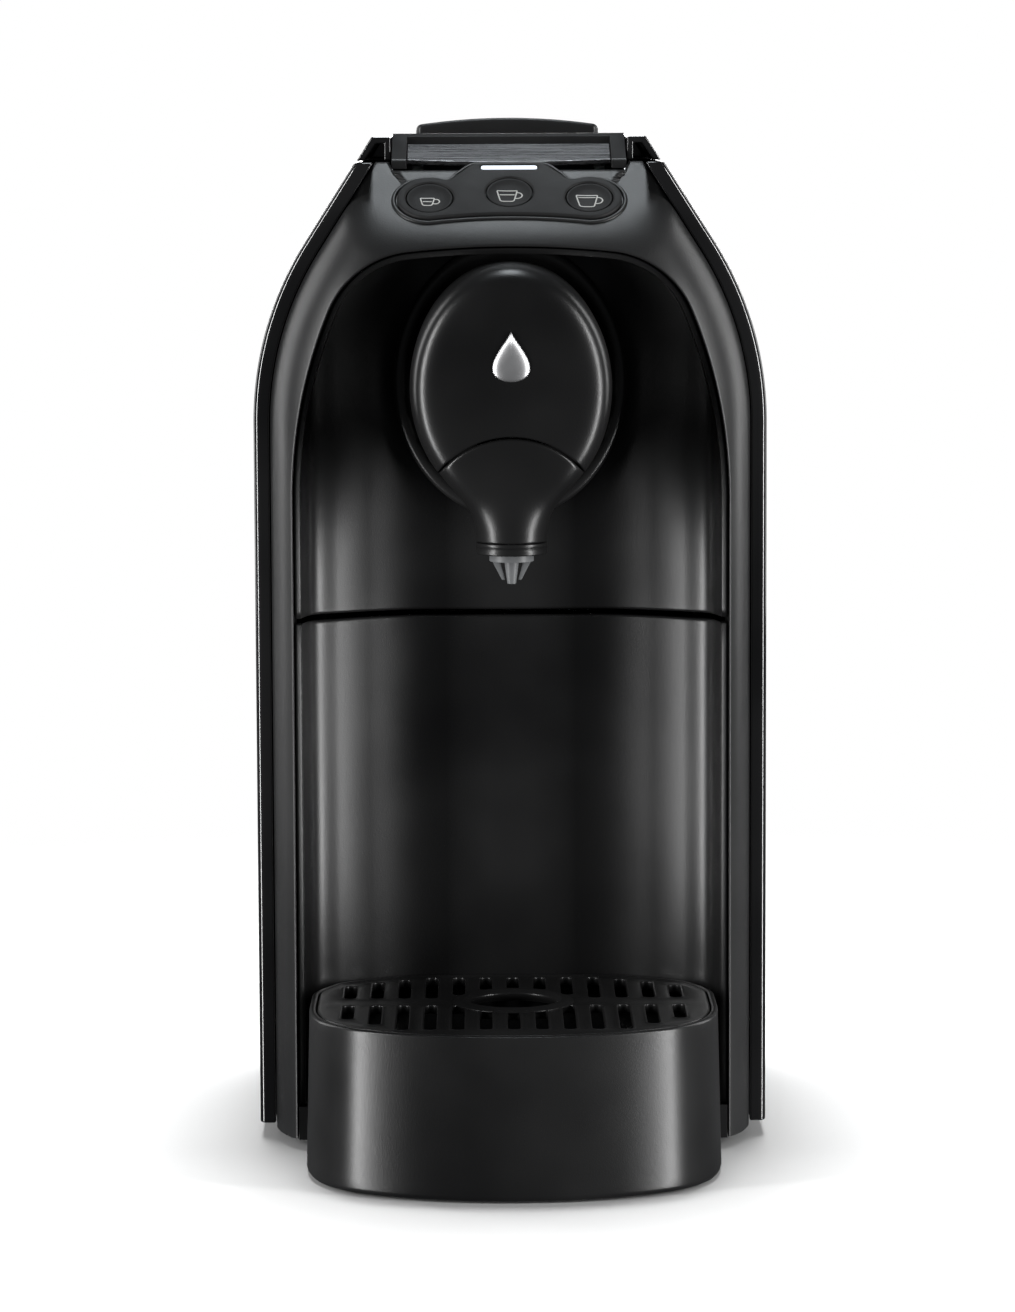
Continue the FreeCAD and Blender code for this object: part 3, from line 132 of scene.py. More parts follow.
HEART = (0, 0, 0.18)
lamp("strip_left", (-1.55, -0.78, 0.2), HEART, (0.17, 2.2), 38)
lamp("strip_right", (1.55, -0.78, 0.2), HEART, (0.17, 2.2), 38)
lamp("overhead", (0, 0.38, 1.75), HEART, (0.26, 0.9), 6.5, (0.9, 0.96, 1.0))
lamp("back_left", (-1.2, 0.75, 0.6), HEART, (0.4, 1.2), 5)
lamp("back_right", (1.2, 0.75, 0.6), HEART, (0.4, 1.2), 5)
lamp("behind", (0, 2.0, 0.5), HEART, (1.5, 0.35), 14)
top = lamp("top", (0, 0.32, 1.8), (0, 0, 0), (0.7, 0.7), 55)

# %% [markdown]
# ## Floor
# The machine stands on a round of pale paper that fades out into the white room. Only the camera sees the
# paper; other rays pass through it. The lamp called top lights nothing but the paper, for a soft shadow.

# %% Floor
FLOOR_REACH = 1.5


def link_all(tree, pairs):
    """Join outputs to inputs, given as pairs."""
    for source, target in pairs:
        tree.links.new(source, target)


angles = np.linspace(0, 2 * np.pi, 97)[:-1]
floor_mesh = bpy.data.meshes.new("floor")
floor_mesh.from_pydata(np.column_stack([FLOOR_REACH * np.cos(angles), FLOOR_REACH * np.sin(angles),
                                        0 * angles]).tolist(), [], [list(range(len(angles)))])
floor = bpy.data.objects.new("floor", floor_mesh)
scene.collection.objects.link(floor)
paper = bpy.data.materials.new("paper")
paper.use_nodes = True
pt = paper.node_tree
pn = pt.nodes
shade, clear, blend, place = (pn["Principled BSDF"], pn.new("ShaderNodeBsdfTransparent"),
                              pn.new("ShaderNodeMixShader"), pn.new("ShaderNodeTexCoord"))
direct, ray = pn.new("ShaderNodeMixShader"), pn.new("ShaderNodeLightPath")
shade.inputs["Base Color"].default_value = (0.6, 0.6, 0.6, 1)
shade.inputs["Roughness"].default_value = 0.75
shade.inputs["Specular IOR Level"].default_value = 0.2
length, fade = pn.new("ShaderNodeVectorMath"), pn.new("ShaderNodeMapRange")
length.operation = "LENGTH"
for socket, number in (("From Min", 0.24), ("From Max", 0.7), ("To Min", 0.0), ("To Max", 1.0)):
    fade.inputs[socket].default_value = number
link_all(pt, [(place.outputs["Object"], length.inputs[0]), (length.outputs["Value"], fade.inputs["Value"]),
              (fade.outputs["Result"], blend.inputs["Fac"]),
              (ray.outputs["Is Camera Ray"], direct.inputs["Fac"]),
              (clear.outputs[0], direct.inputs[1]), (shade.outputs[0], direct.inputs[2]),
              (direct.outputs[0], blend.inputs[1]),
              (clear.outputs[0], blend.inputs[2]),
              (blend.outputs[0], pn["Material Output"].inputs["Surface"])])
floor_mesh.materials.append(paper)
floor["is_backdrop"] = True
floor_only = bpy.data.collections.new("floor_only")
floor_only.objects.link(floor)
top.light_linking.receiver_collection = floor_only
print("floor reach", FLOOR_REACH)

# %% [markdown]
# ## Effects that finishes share
# Moulded plastic is never flat: the tool leaves a fine spark grain, hands leave faint smears, and a little
# dust lies on what faces up. Each effect is one node group, made once and given its values by each finish.


# %% Node groups
def group(name, inputs, outputs):
    """An empty node group with named sockets: (name, kind, default)."""
    tree = bpy.data.node_groups.new(name, "ShaderNodeTree")
    for side, sockets in (("INPUT", inputs), ("OUTPUT", outputs)):
        for label, kind, *start in sockets:
            made = tree.interface.new_socket(label, in_out=side, socket_type="NodeSocket" + kind)
            if start:
                made.default_value = start[0]
    return tree, tree.nodes.new("NodeGroupInput"), tree.nodes.new("NodeGroupOutput")


def noise(tree, vector, scale, detail=2.0, rough=0.5):
    """A noise texture on a vector socket; scale is a number or a socket."""
    node = tree.nodes.new("ShaderNodeTexNoise")
    node.inputs["Detail"].default_value = detail
    node.inputs["Roughness"].default_value = rough
    tree.links.new(vector, node.inputs["Vector"])
    if isinstance(scale, (int, float)):
        node.inputs["Scale"].default_value = scale
    else:
        tree.links.new(scale, node.inputs["Scale"])
    return node.outputs["Fac"]


def between(tree, source, low, high, to_low=0.0, to_high=1.0, smooth=True):
    """A value mapped from one range to another; ends are numbers or sockets."""
    node = tree.nodes.new("ShaderNodeMapRange")
    node.interpolation_type = "SMOOTHSTEP" if smooth else "LINEAR"
    tree.links.new(source, node.inputs["Value"])
    for label, given in (("From Min", low), ("From Max", high), ("To Min", to_low), ("To Max", to_high)):
        if isinstance(given, (int, float)):
            node.inputs[label].default_value = given
        else:
            tree.links.new(given, node.inputs[label])
    return node.outputs["Result"]


def maths(tree, operation, first, second):
    """One sum on two values, each a number or a socket."""
    node = tree.nodes.new("ShaderNodeMath")
    node.operation = operation
    for index, given in enumerate((first, second)):
        if isinstance(given, (int, float)):
            node.inputs[index].default_value = given
        else:
            tree.links.new(given, node.inputs[index])
    return node.outputs[0]


def blended(tree, factor, first, second):
    """Two colours mixed by a factor; each colour is a tuple or a socket."""
    node = tree.nodes.new("ShaderNodeMix")
    node.data_type = "RGBA"
    tree.links.new(factor, node.inputs["Factor"])
    for label, given in (("A", first), ("B", second)):
        target = next(s for s in node.inputs if s.name == label and s.type == "RGBA")
        if isinstance(given, tuple):
            target.default_value = given
        else:
            tree.links.new(given, target)
    return next(s for s in node.outputs if s.type == "RGBA")


# Spark grain: two layers of fine noise, one twice as fine as the other, added as a height
grain, gi, go = group("spark_grain", [("Vector", "Vector"), ("Scale", "Float", 900.0)], [("Height", "Float")])
fine = noise(grain, gi.outputs["Vector"], maths(grain, "MULTIPLY", gi.outputs["Scale"], 2.1), 1.0)
coarse = noise(grain, gi.outputs["Vector"], gi.outputs["Scale"], 2.0, 0.6)
grain.links.new(maths(grain, "ADD", fine, coarse), go.inputs["Height"])

# Handling: slow cloudy smears that lift or drop the roughness between two values
smear, si, so = group("handling", [("Vector", "Vector"), ("Scale", "Float", 18.0), ("Low", "Float", 0.3),
                                   ("High", "Float", 0.4)], [("Roughness", "Float")])
cloud = noise(smear, si.outputs["Vector"], si.outputs["Scale"], 5.0, 0.62)
smeared = between(smear, cloud, 0.32, 0.68, si.outputs["Low"], si.outputs["High"])
smear.links.new(smeared, so.inputs["Roughness"])

# Dust: pale specks, thickest where the surface faces up, over a colour that drifts a little
dust, di, do = group("dust", [("Vector", "Vector"), ("Base", "Color", (0.02, 0.02, 0.02, 1)),
                              ("Tint", "Color", (0.3, 0.3, 0.3, 1)), ("Amount", "Float", 0.1)],
                     [("Color", "Color")])
face = dust.nodes.new("ShaderNodeNewGeometry")
split = dust.nodes.new("ShaderNodeSeparateXYZ")
dust.links.new(face.outputs["Normal"], split.inputs[0])
upward = between(dust, split.outputs["Z"], 0.1, 1.0, 0.15, 1.0)
specks = between(dust, noise(dust, di.outputs["Vector"], 1400.0, 2.0, 0.7), 0.6, 0.82)
film = maths(dust, "MULTIPLY", maths(dust, "MULTIPLY", specks, upward), di.outputs["Amount"])
drift = blended(dust, between(dust, noise(dust, di.outputs["Vector"], 9.0, 3.0), 0.3, 0.7, 0.0, 0.06),
                di.outputs["Base"], di.outputs["Tint"])
dust.links.new(blended(dust, film, drift, di.outputs["Tint"]), do.inputs["Color"])

# Brushing: noise stretched along one axis, so it reads as fine scratches that run along X
brush, bi, bo = group("brushing", [("Vector", "Vector"), ("Fineness", "Float", 2600.0)],
                      [("Height", "Float"), ("Mask", "Float")])
squeeze = brush.nodes.new("ShaderNodeVectorMath")
squeeze.operation = "MULTIPLY"
squeeze.inputs[1].default_value = (0.012, 1.0, 1.0)
brush.links.new(bi.outputs["Vector"], squeeze.inputs[0])
lines = noise(brush, squeeze.outputs[0], bi.outputs["Fineness"], 3.0, 0.75)
brush.links.new(lines, bo.inputs["Height"])
brush.links.new(between(brush, lines, 0.35, 0.65), bo.inputs["Mask"])
print("node groups:", [g.name for g in bpy.data.node_groups])

# %% [markdown]
# ## Finishes
# One material for each slot of the record. Values that are the same all over sit on the shader itself;
# what changes over the surface comes from the groups.

# %% Finishes
FINISH = {}


def use(tree, shared, **values):
    """A node group placed in a material, with its inputs set to numbers, colours or sockets."""
    node = tree.nodes.new("ShaderNodeGroup")
    node.node_tree = shared
    for label, given in values.items():
        if isinstance(given, bpy.types.NodeSocket):
            tree.links.new(given, node.inputs[label])
        else:
            node.inputs[label].default_value = given
    return node


def finish_for(slot, colour, rough=(0.3, 0.4), grain_size=900.0, bump=0.1, dusty=0.04, tint=0.25, **plain):
    """A plastic finish: dusted colour, smeared roughness, grain as bump; plain sets shader sockets."""
    made = bpy.data.materials.new(slot)
    made.use_nodes = True
    tree = made.node_tree
    shader = tree.nodes["Principled BSDF"]
    spot = tree.nodes.new("ShaderNodeTexCoord").outputs["Object"]
    colour = (*colour, 1.0)
    layer = use(tree, dust, Vector=spot, Base=colour, Tint=(tint, tint, tint, 1), Amount=dusty)
    tree.links.new(layer.outputs["Color"], shader.inputs["Base Color"])
    smears = use(tree, smear, Vector=spot, Low=rough[0], High=rough[1])
    tree.links.new(smears.outputs["Roughness"], shader.inputs["Roughness"])
    if bump:
        relief = tree.nodes.new("ShaderNodeBump")
        relief.inputs["Strength"].default_value = bump
        relief.inputs["Distance"].default_value = 0.0002
        height = use(tree, grain, Vector=spot, Scale=grain_size)
        link_all(tree, [(height.outputs["Height"], relief.inputs["Height"]),
                        (relief.outputs["Normal"], shader.inputs["Normal"])])
    for label, given in plain.items():
        shader.inputs[label.replace("_", " ")].default_value = given
    FINISH[slot] = made
    return made


finish_for("satin_black", (0.009, 0.0092, 0.0096), (0.36, 0.4), 1500.0, 0.16, 0.02)
finish_for("gloss_black", (0.0025, 0.0025, 0.003), (0.08, 0.16), 300.0, 0.01, 0.03, Coat_Weight=0.5,
           Coat_Roughness=0.05)
finish_for("moulded_black", (0.0045, 0.0045, 0.0047), (0.29, 0.325), 1500.0, 0.12, 0.02)
finish_for("soft_black", (0.008, 0.008, 0.0085), (0.5, 0.62), 2200.0, 0.25, 0.05, Specular_IOR_Level=0.3)
finish_for("chrome_trim", (0.86, 0.86, 0.87), (0.34, 0.44), 900.0, 0.02, 0.01, Metallic=1.0)
finish_for("rubber_black", (0.02, 0.02, 0.02), (0.65, 0.8), 1200.0, 0.3, 0.12)
finish_for("steel", (0.55, 0.55, 0.56), (0.22, 0.34), 700.0, 0.06, 0.02, Metallic=1.0)
finish_for("white_plastic", (0.72, 0.72, 0.69), (0.35, 0.5), 1100.0, 0.1, 0.02, Subsurface_Weight=0.05)
finish_for("grey_plastic", (0.16, 0.165, 0.17), (0.35, 0.48), 1300.0, 0.12)
finish_for("cast_metal", (0.45, 0.45, 0.46), (0.45, 0.65), 500.0, 0.5, 0.08, Metallic=1.0)
finish_for("hose_silicone", (0.75, 0.76, 0.76), (0.3, 0.42), 900.0, 0.05, 0.02, Transmission_Weight=0.35)
finish_for("socket_black", (0.012, 0.012, 0.012), (0.45, 0.6), 1200.0, 0.2)
print("finishes:", sorted(FINISH))

# %% [markdown]
# Five finishes need something of their own. Brushed metal has scratches, the lamp glows and the tank is
# smoked clear plastic. Wound copper and the circuit board have fine even lines, made by a wave as bump.

# %% Finishes with a pattern
metal = finish_for("brushed_dark", (0.34, 0.34, 0.35), (0.24, 0.36), 900.0, 0.0, 0.02, Metallic=1.0)
tree = metal.node_tree
scratches = use(tree, brush, Vector=tree.nodes["Texture Coordinate"].outputs["Object"])
relief = tree.nodes.new("ShaderNodeBump")
relief.inputs["Strength"].default_value = 0.35
relief.inputs["Distance"].default_value = 0.0002
link_all(tree, [(scratches.outputs["Height"], relief.inputs["Height"]),
                (relief.outputs["Normal"], tree.nodes["Principled BSDF"].inputs["Normal"]),
                (between(tree, scratches.outputs["Mask"], 0.0, 1.0, 0.22, 0.42),
                 tree.nodes["Principled BSDF"].inputs["Roughness"])])

glow = finish_for("lamp_white", (0.8, 0.85, 0.9), (0.3, 0.4), 900.0, 0.02, 0.0)
tree = glow.node_tree
spot = tree.nodes["Texture Coordinate"].outputs["Object"]
even = blended(tree, noise(tree, spot, 60.0), (0.72, 0.84, 1.0, 1), (0.86, 0.93, 1.0, 1))
tree.links.new(even, tree.nodes["Principled BSDF"].inputs["Emission Color"])
tree.nodes["Principled BSDF"].inputs["Emission Strength"].default_value = 0.95

finish_for("smoked_clear", (0.42, 0.43, 0.44), (0.05, 0.1), 200.0, 0.01, 0.02, Transmission_Weight=1.0,
           IOR=1.45)

coil = finish_for("coil_metal", (0.42, 0.16, 0.06), (0.3, 0.4), 900.0, 0.0, 0.02, Metallic=0.8)
board = finish_for("board_green", (0.02, 0.09, 0.035), (0.25, 0.4), 900.0, 0.05, 0.02)
for made, axis, pitch, strength in ((coil, "X", 900.0, 0.6), (board, "Z", 260.0, 0.25)):
    tree = made.node_tree
    wave = tree.nodes.new("ShaderNodeTexWave")
    wave.bands_direction = axis
    wave.inputs["Scale"].default_value = pitch
    wave.inputs["Distortion"].default_value = 0.4
    relief = tree.nodes.new("ShaderNodeBump")
    relief.inputs["Strength"].default_value = strength
    relief.inputs["Distance"].default_value = 0.0003
    link_all(tree, [(tree.nodes["Texture Coordinate"].outputs["Object"], wave.inputs["Vector"]),
                    (wave.outputs["Fac"], relief.inputs["Height"]),
                    (relief.outputs["Normal"], tree.nodes["Principled BSDF"].inputs["Normal"])])
print("patterned finishes:", [m.name for m in (metal, glow, coil, board)])

# %% [markdown]
# ## Dressing the frame
# Every part of the frame takes the finish of its slot, the hidden ones too, because they show when the
# lever is up or the tank is out.

# %% Dress the frame's own nodes
SLOTS = {
    "satin_black": "front_frame lever_bracket lid_grip",
    "gloss_black": "side_shell_left side_shell_right side_trims top_housing tank_lid",
    "moulded_black": "recess_panel capsule_container drip_tray drip_grid brew_head_cover outlet_funnel "
                     "outlet_collar base_plate capsule_chute capsule_inlet bulkhead brew_frame button_board",
    "soft_black": "button_panel button_small button_medium button_large",
    "brushed_dark": "lever_plate", "chrome_trim": "head_badge", "lamp_white": "light_bar",
    "smoked_clear": "water_tank", "rubber_black": "rubber_feet tank_gasket plunger_seal pump_mounts",
    "steel": "guide_rods lever_pins idler_axles chamber_needle thermostat",
    "white_plastic": "idler_right idler_left lever_sectors carriage_racks plunger_yoke brew_plunger "
                     "valve_collar tank_valve flow_meter tank_seat pump_body",
    "grey_plastic": "outlet_nozzle brew_chamber outlet_tube", "cast_metal": "thermoblock",
    "coil_metal": "pump_coil", "hose_silicone": "feed_hose pump_hose brew_hose",
    "board_green": "main_board", "socket_black": "mains_inlet lever_switch",
}
SLOT_OF = {node: slot for slot, nodes in SLOTS.items() for node in nodes.split()}
for node, held in frame["nodes"].items():
    held.data.materials.clear()
    held.data.materials.append(FINISH[SLOT_OF[node]])
print("dressed:", len(SLOT_OF))

# %% [markdown]
# ## From a grid of points to a piece
# Every new piece is a grid: one way along it, the other across it. The grid may close on itself either
# way, and its open ends may be capped. One function turns the grid into quads.


# %% Grid to mesh
def add_piece(name, vertices, faces, node, slot=None, stands_for=True, facing=None):
    """A mesh in metres from points in millimetres; it rides with its node's body and takes its slot.
    Doubles are merged and the faces turned outwards, or towards facing on an open skin."""
    mesh = bpy.data.meshes.new(name)
    metres = np.asarray(vertices, float).reshape(-1, 3) * MM
    mesh.from_pydata(metres.tolist(), [], [list(map(int, f)) for f in faces])
    work = bmesh.new()
    work.from_mesh(mesh)
    bmesh.ops.remove_doubles(work, verts=work.verts, dist=2e-6)
    bmesh.ops.dissolve_degenerate(work, edges=work.edges, dist=1e-6)
    bmesh.ops.recalc_face_normals(work, faces=work.faces)
    if facing is not None:
        lean = sum((face.normal * face.calc_area() for face in work.faces), Vector()).dot(Vector(facing))
        if lean < 0:
            bmesh.ops.reverse_faces(work, faces=work.faces)
    work.to_mesh(mesh)
    work.free()
    mesh.shade_smooth()
    made = bpy.data.objects.new(name, mesh)
    scene.collection.objects.link(made)
    slot = slot or SLOT_OF[node]
    mesh.materials.append(FINISH[slot])
    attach(made, BODY_OF[node])
    if stands_for:
        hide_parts(node)
    return made


def grid_faces(rows, columns, close_rows=False, close_columns=False, start=0):
    """Quads between neighbours of a rows by columns grid, joined round where it closes."""
    r = np.arange(rows if close_rows else rows - 1)[:, None]
    c = np.arange(columns if close_columns else columns - 1)[None, :]
    r2, c2 = (r + 1) % rows, (c + 1) % columns
    quads = np.stack([r * columns + c, r2 * columns + c, r2 * columns + c2, r * columns + c2], -1)
    return (quads.reshape(-1, 4) + start).tolist()


def swept(name, rings, node, closed=True, caps=True, facing=None, around=False, **more):
    """A piece from rings of points: rings is an array along by across by 3. Rings close across, the
    first and last are capped, and with around the last ring joins the first."""
    rings = np.asarray(rings, float)
    rows, columns = rings.shape[:2]
    faces = grid_faces(rows, columns, close_rows=around, close_columns=closed)
    if caps and closed and not around:
        faces += [list(range(columns)), list(range((rows - 1) * columns, rows * columns))]
    return add_piece(name, rings, faces, node, facing=facing, **more)


def arc(centre, radius, first, last, count):
    """Points on a circle between two angles in degrees: centre plus radius times cosine and sine."""
    turn = np.radians(np.linspace(first, last, count))
    return np.column_stack([centre[0] + radius * np.cos(turn), centre[1] + radius * np.sin(turn)])


def arc_through(a, b, c, count):
    """Points on the circle through three points, from a by b to c."""
    a, b, c = (np.asarray(p, float) for p in (a, b, c))
    ab, ac = b - a, c - a
    cross = 2 * (ab[0] * ac[1] - ab[1] * ac[0])
    centre = a + np.array([ac[1] * (ab @ ab) - ab[1] * (ac @ ac),
                           ab[0] * (ac @ ac) - ac[0] * (ab @ ab)]) / cross
    angle = [math.atan2(*(p - centre)[::-1]) for p in (a, b, c)]
    sweep_b, sweep_c = ((angle[i] - angle[0]) % (2 * math.pi) for i in (1, 2))
    total = sweep_c if sweep_b <= sweep_c else sweep_c - 2 * math.pi
    turn = angle[0] + np.linspace(0, total, count)
    radius = np.linalg.norm(a - centre)
    return np.column_stack([centre[0] + radius * np.cos(turn), centre[1] + radius * np.sin(turn)])


def softened_corners(corners, radii, steps=5):
    """A closed outline with each corner replaced by an arc of its own radius that touches both sides."""
    corners = np.asarray(corners, float)
    made = []
    for index, (corner, radius) in enumerate(zip(corners, radii)):
        if radius <= 0:
            made.append(corner[None])
            continue
        before = corners[index - 1] - corner
        after = corners[(index + 1) % len(corners)] - corner
        before, after = before / np.linalg.norm(before), after / np.linalg.norm(after)
        half = math.acos(np.clip(before @ after, -1, 1)) / 2
        middle = corner + (before + after) / np.linalg.norm(before + after) * radius / math.sin(half)
        start, end = corner + before * radius / math.tan(half), corner + after * radius / math.tan(half)
        share = np.linspace(0, 1, steps)[:, None]
        spread = start * (1 - share) + end * share - middle
        made.append(middle + spread / np.linalg.norm(spread, axis=1)[:, None] * radius)
    return np.vstack(made)


def through(points, count):
    """A smooth curve through points: on each span, the cubic whose slopes are its neighbours' chords."""
    points = np.asarray(points, float)
    padded = np.vstack([2 * points[0] - points[1], points, 2 * points[-1] - points[-2]])
    where = np.linspace(0, len(points) - 1 - 1e-9, count)
    span = where.astype(int)
    t = (where - span)[:, None]
    p0, p1, p2, p3 = (padded[span + k] for k in range(4))
    return 0.5 * (2 * p1 + (p2 - p0) * t + (2 * p0 - 5 * p1 + 4 * p2 - p3) * t ** 2
                  + (3 * p1 - p0 - 3 * p2 + p3) * t ** 3)


def edge_drop(distance, radius):
    """How far a rounded edge falls away at a distance from it: radius less a quarter circle's height."""
    reach = radius - np.clip(distance, 0, radius)
    return radius - np.sqrt(np.maximum(radius ** 2 - reach ** 2, 0))


print("helpers ready")

# %% [markdown]
# ## The two outlines that everything follows
# Seen from the front, the casing is an upright side, a round shoulder and a straight slope. The arch of
# the opening is an upright leg, a long lean, a round corner and a nearly flat crown. Both are arcs that
# touch, so an inset copy only needs smaller radii about the same centres.

# %% Outlines
BODY_HALF, SHOULDER_Z, SHOULDER_R, SHOULDER_TILT = 91.7, 259.5, 120.0, 32.5
ARCH_HALF, ARCH_Z, ARCH_R, ARCH_LEAN, CORNER_R, CROWN = 77.2, 232.6, 177.0, 22.4, 34.0, 84.0
CASING_TOP, BEZEL_Y, SHELL_Y = 352.0, -41.5, -21.5
RECESS_Y, RIM_Y, RIM_HALF, RIM_WIDE, SEAM_Z = -10.5, -40.0, 76.7, 2.1, 190.5


def polar(angle):
    """The unit vector at an angle in degrees."""
    return np.array([math.cos(math.radians(angle)), math.sin(math.radians(angle))])


def side_line(inset, low, high, counts=(30, 26, 12)):
    """The casing's right side from low to high: points across and up, inset evenly."""
    centre = np.array([BODY_HALF - SHOULDER_R, SHOULDER_Z])
    radius = SHOULDER_R - inset
    bend = arc(centre, radius, 0, SHOULDER_TILT, counts[1])
    rise = high - bend[-1, 1]
    top = bend[-1] + np.array([-rise * math.tan(math.radians(SHOULDER_TILT)), rise])
    leg = np.linspace([BODY_HALF - inset, low], bend[0], counts[0])
    slope = np.linspace(bend[-1], top, counts[2])
    return np.vstack([leg[:-1], bend, slope[1:]])


def arch_line(inset, low, counts=(30, 24, 22, 14)):
    """The arch from its right foot over the crown to its left foot, inset evenly."""
    first = np.array([ARCH_HALF - ARCH_R, ARCH_Z])
    second = first + (ARCH_R - CORNER_R) * polar(ARCH_LEAN)
    crown_r = CORNER_R + second[0] / math.cos(math.radians(CROWN))
    third = second - (crown_r - CORNER_R) * polar(CROWN)
    leg = np.linspace([ARCH_HALF - inset, low], [ARCH_HALF - inset, ARCH_Z], counts[0])
    parts = [leg[:-1], arc(first, ARCH_R - inset, 0, ARCH_LEAN, counts[1])[:-1],
             arc(second, CORNER_R - inset, ARCH_LEAN, CROWN, counts[2])[:-1],
             arc(third, crown_r - inset, CROWN, 90, counts[3])]
    half = np.vstack(parts)
    return np.vstack([half, half[-2::-1] * [-1, 1]])


print("arch crown at", round(arch_line(0, 4)[:, 1].max(), 1))

# %% [markdown]
# ## Side shells
# Each shell is a gloss band bent over the shoulder. Its section is a shallow U, open to the inside, and it
# is carried along the casing's side. The front corner is rounded more than the others, and both ends
# shrink over their last part of a millimetre, so every edge catches a line of light.

# %% Side shells
SHELL_BAND, SHELL_BACK, SHELL_LOW = 5.7, 76.8, 5.5
SHELL_SKIN, END_ROUND = 2.2, 0.7
shell_section = softened_corners(
    [(0, SHELL_Y), (SHELL_BAND, SHELL_Y), (SHELL_BAND, SHELL_Y + 3), (SHELL_SKIN, SHELL_Y + 3),
     (SHELL_SKIN, SHELL_BACK - 3), (SHELL_BAND, SHELL_BACK - 3), (SHELL_BAND, SHELL_BACK), (0, SHELL_BACK)],
    [2.4, 0.7, 0.3, 0.5, 0.5, 0.3, 0.4, 1.0], 7)


def shrunk(outline, amount):
    """A closed outline moved inwards along its corner normals."""
    ahead, behind = np.roll(outline, -1, 0) - outline, outline - np.roll(outline, 1, 0)
    ways = ahead / np.linalg.norm(ahead, axis=1)[:, None] + behind / np.linalg.norm(behind, axis=1)[:, None]
    normals = np.column_stack([-ways[:, 1], ways[:, 0]]) / np.linalg.norm(ways, axis=1)[:, None]
    around = np.sum(outline[:, 0] * np.roll(outline[:, 1], -1) - np.roll(outline[:, 0], -1) * outline[:, 1])
    return outline + normals * amount * np.sign(around)


def shell_rings(side, section, low, high):
    """The section carried along the side from low to high, its ends shrunk on a quarter circle."""
    def ring_lines(outline, reach):
        line = np.stack([side_line(inset, low + END_ROUND - reach, high - END_ROUND + reach)
                         for inset in outline[:, 0]], 1)
        depth = np.broadcast_to(outline[:, 1], line.shape[:2])
        return np.stack([side * line[..., 0], depth, line[..., 1]], -1)

    start, end = [], []
    for turn in np.radians(np.linspace(90, 15, 5)):
        grown = ring_lines(shrunk(section, END_ROUND * (1 - math.sin(turn))), END_ROUND * math.cos(turn))
        start.insert(0, grown[0])
        end.append(grown[-1])
    return np.concatenate([np.array(start), ring_lines(section, 0.0)[1:-1], np.array(end)])


for side, label in ((1, "side_shell_right"), (-1, "side_shell_left")):
    swept(label + "_skin", shell_rings(side, shell_section, SHELL_LOW, CASING_TOP), label)
print("side shells: section of", len(shell_section), "points")

# %% [markdown]
# ## Front frame
# The frame's face lies between the arch and the casing's outline. Its depth is a blend: a slope that
# falls back from the arch to the shells, and the sloping fascia, joined by a smooth maximum so that no
# crease shows between them. Both edges fall away on a small round.

# %% Front frame
FASCIA_Z, FASCIA_TILT, FASCIA_BLEND = 324.5, 36.25, 8.0
LEVER_BAY, BAY_TOP, FRAME_LOW = 42.4, 349.0, 4.0
fascia_cos, fascia_sin = polar(FASCIA_TILT)


def resampled(line, count):
    """A polyline's points spaced evenly by length."""
    step = np.r_[0, np.cumsum(np.linalg.norm(np.diff(line, axis=0), axis=1))]
    at = np.linspace(0, step[-1], count)
    return np.column_stack([np.interp(at, step, line[:, k]) for k in range(2)])


def nearest(points, line):
    """The distance from each point to a polyline: the least over its segments."""
    start, way = line[:-1], np.diff(line, axis=0)
    gap = points[:, None] - start[None]
    share = np.clip((gap * way).sum(-1) / (way * way).sum(-1), 0, 1)
    return np.linalg.norm(gap - share[..., None] * way, axis=-1).min(1)


def smooth_max(first, second, width):
    """The larger of two values, rounded off over a width: a weighted mix plus width times w(1-w)."""
    w = np.clip(0.5 + 0.5 * (first - second) / width, 0, 1)
    return first * w + second * (1 - w) + width * w * (1 - w)


FRAME_COUNTS = (30, 24, 24, 20)
leg_stop, lean_stop, corner_stop = np.cumsum([count - 1 for count in FRAME_COUNTS[:3]])
inner_half = arch_line(0, FRAME_LOW, FRAME_COUNTS)
inner_half = inner_half[:len(inner_half) // 2 + 1]
outer_inset = SHELL_BAND + 0.3
outer_side = side_line(outer_inset, FRAME_LOW, CASING_TOP, (30, 26, 12))
_, inner_lean, inner_corner, inner_crown = np.split(inner_half, [leg_stop, lean_stop, corner_stop])
outer_leg, outer_bend = outer_side[:leg_stop], outer_side[leg_stop:]
lean_end = int(np.argmin(abs(outer_bend[:, 1] - 306)))
deck_edge = np.array([outer_side[-1], (LEVER_BAY + 0.6, CASING_TOP), (LEVER_BAY, BAY_TOP), (0, BAY_TOP)])
outer_half = np.vstack([
    outer_leg, resampled(outer_bend[:lean_end + 1], len(inner_lean) + 1)[:-1],
    resampled(outer_bend[lean_end:], len(inner_corner) + 1)[:-1]])
crown_count = len(inner_crown)
top_run = np.vstack([np.linspace(deck_edge[0], deck_edge[1], 6)[:-1],
                     np.linspace(deck_edge[1], deck_edge[2], 4)[:-1],
                     np.linspace(deck_edge[2], deck_edge[3], crown_count - 8)])
outer_half = np.vstack([outer_half, top_run])
print("frame halves:", len(inner_half), len(outer_half))
inner_half = np.vstack([inner_half[:corner_stop],
                        resampled(inner_half[corner_stop:], len(outer_half) - corner_stop)])
near_edge = np.array([0, 0.12, 0.3, 0.55, 0.85, 1.2])
middle_share = np.linspace(0, 1, 40)
span = outer_half - inner_half
reach = np.linalg.norm(span, axis=1)
along = np.concatenate([np.tile(near_edge, (len(reach), 1)),
                        1.2 + middle_share[None, 1:-1] * (reach[:, None] - 2.4),
                        reach[:, None] - near_edge[::-1]], 1)
flat = inner_half[:, None] + span[:, None] * (along / reach[:, None])[..., None]
points = flat.reshape(-1, 2)
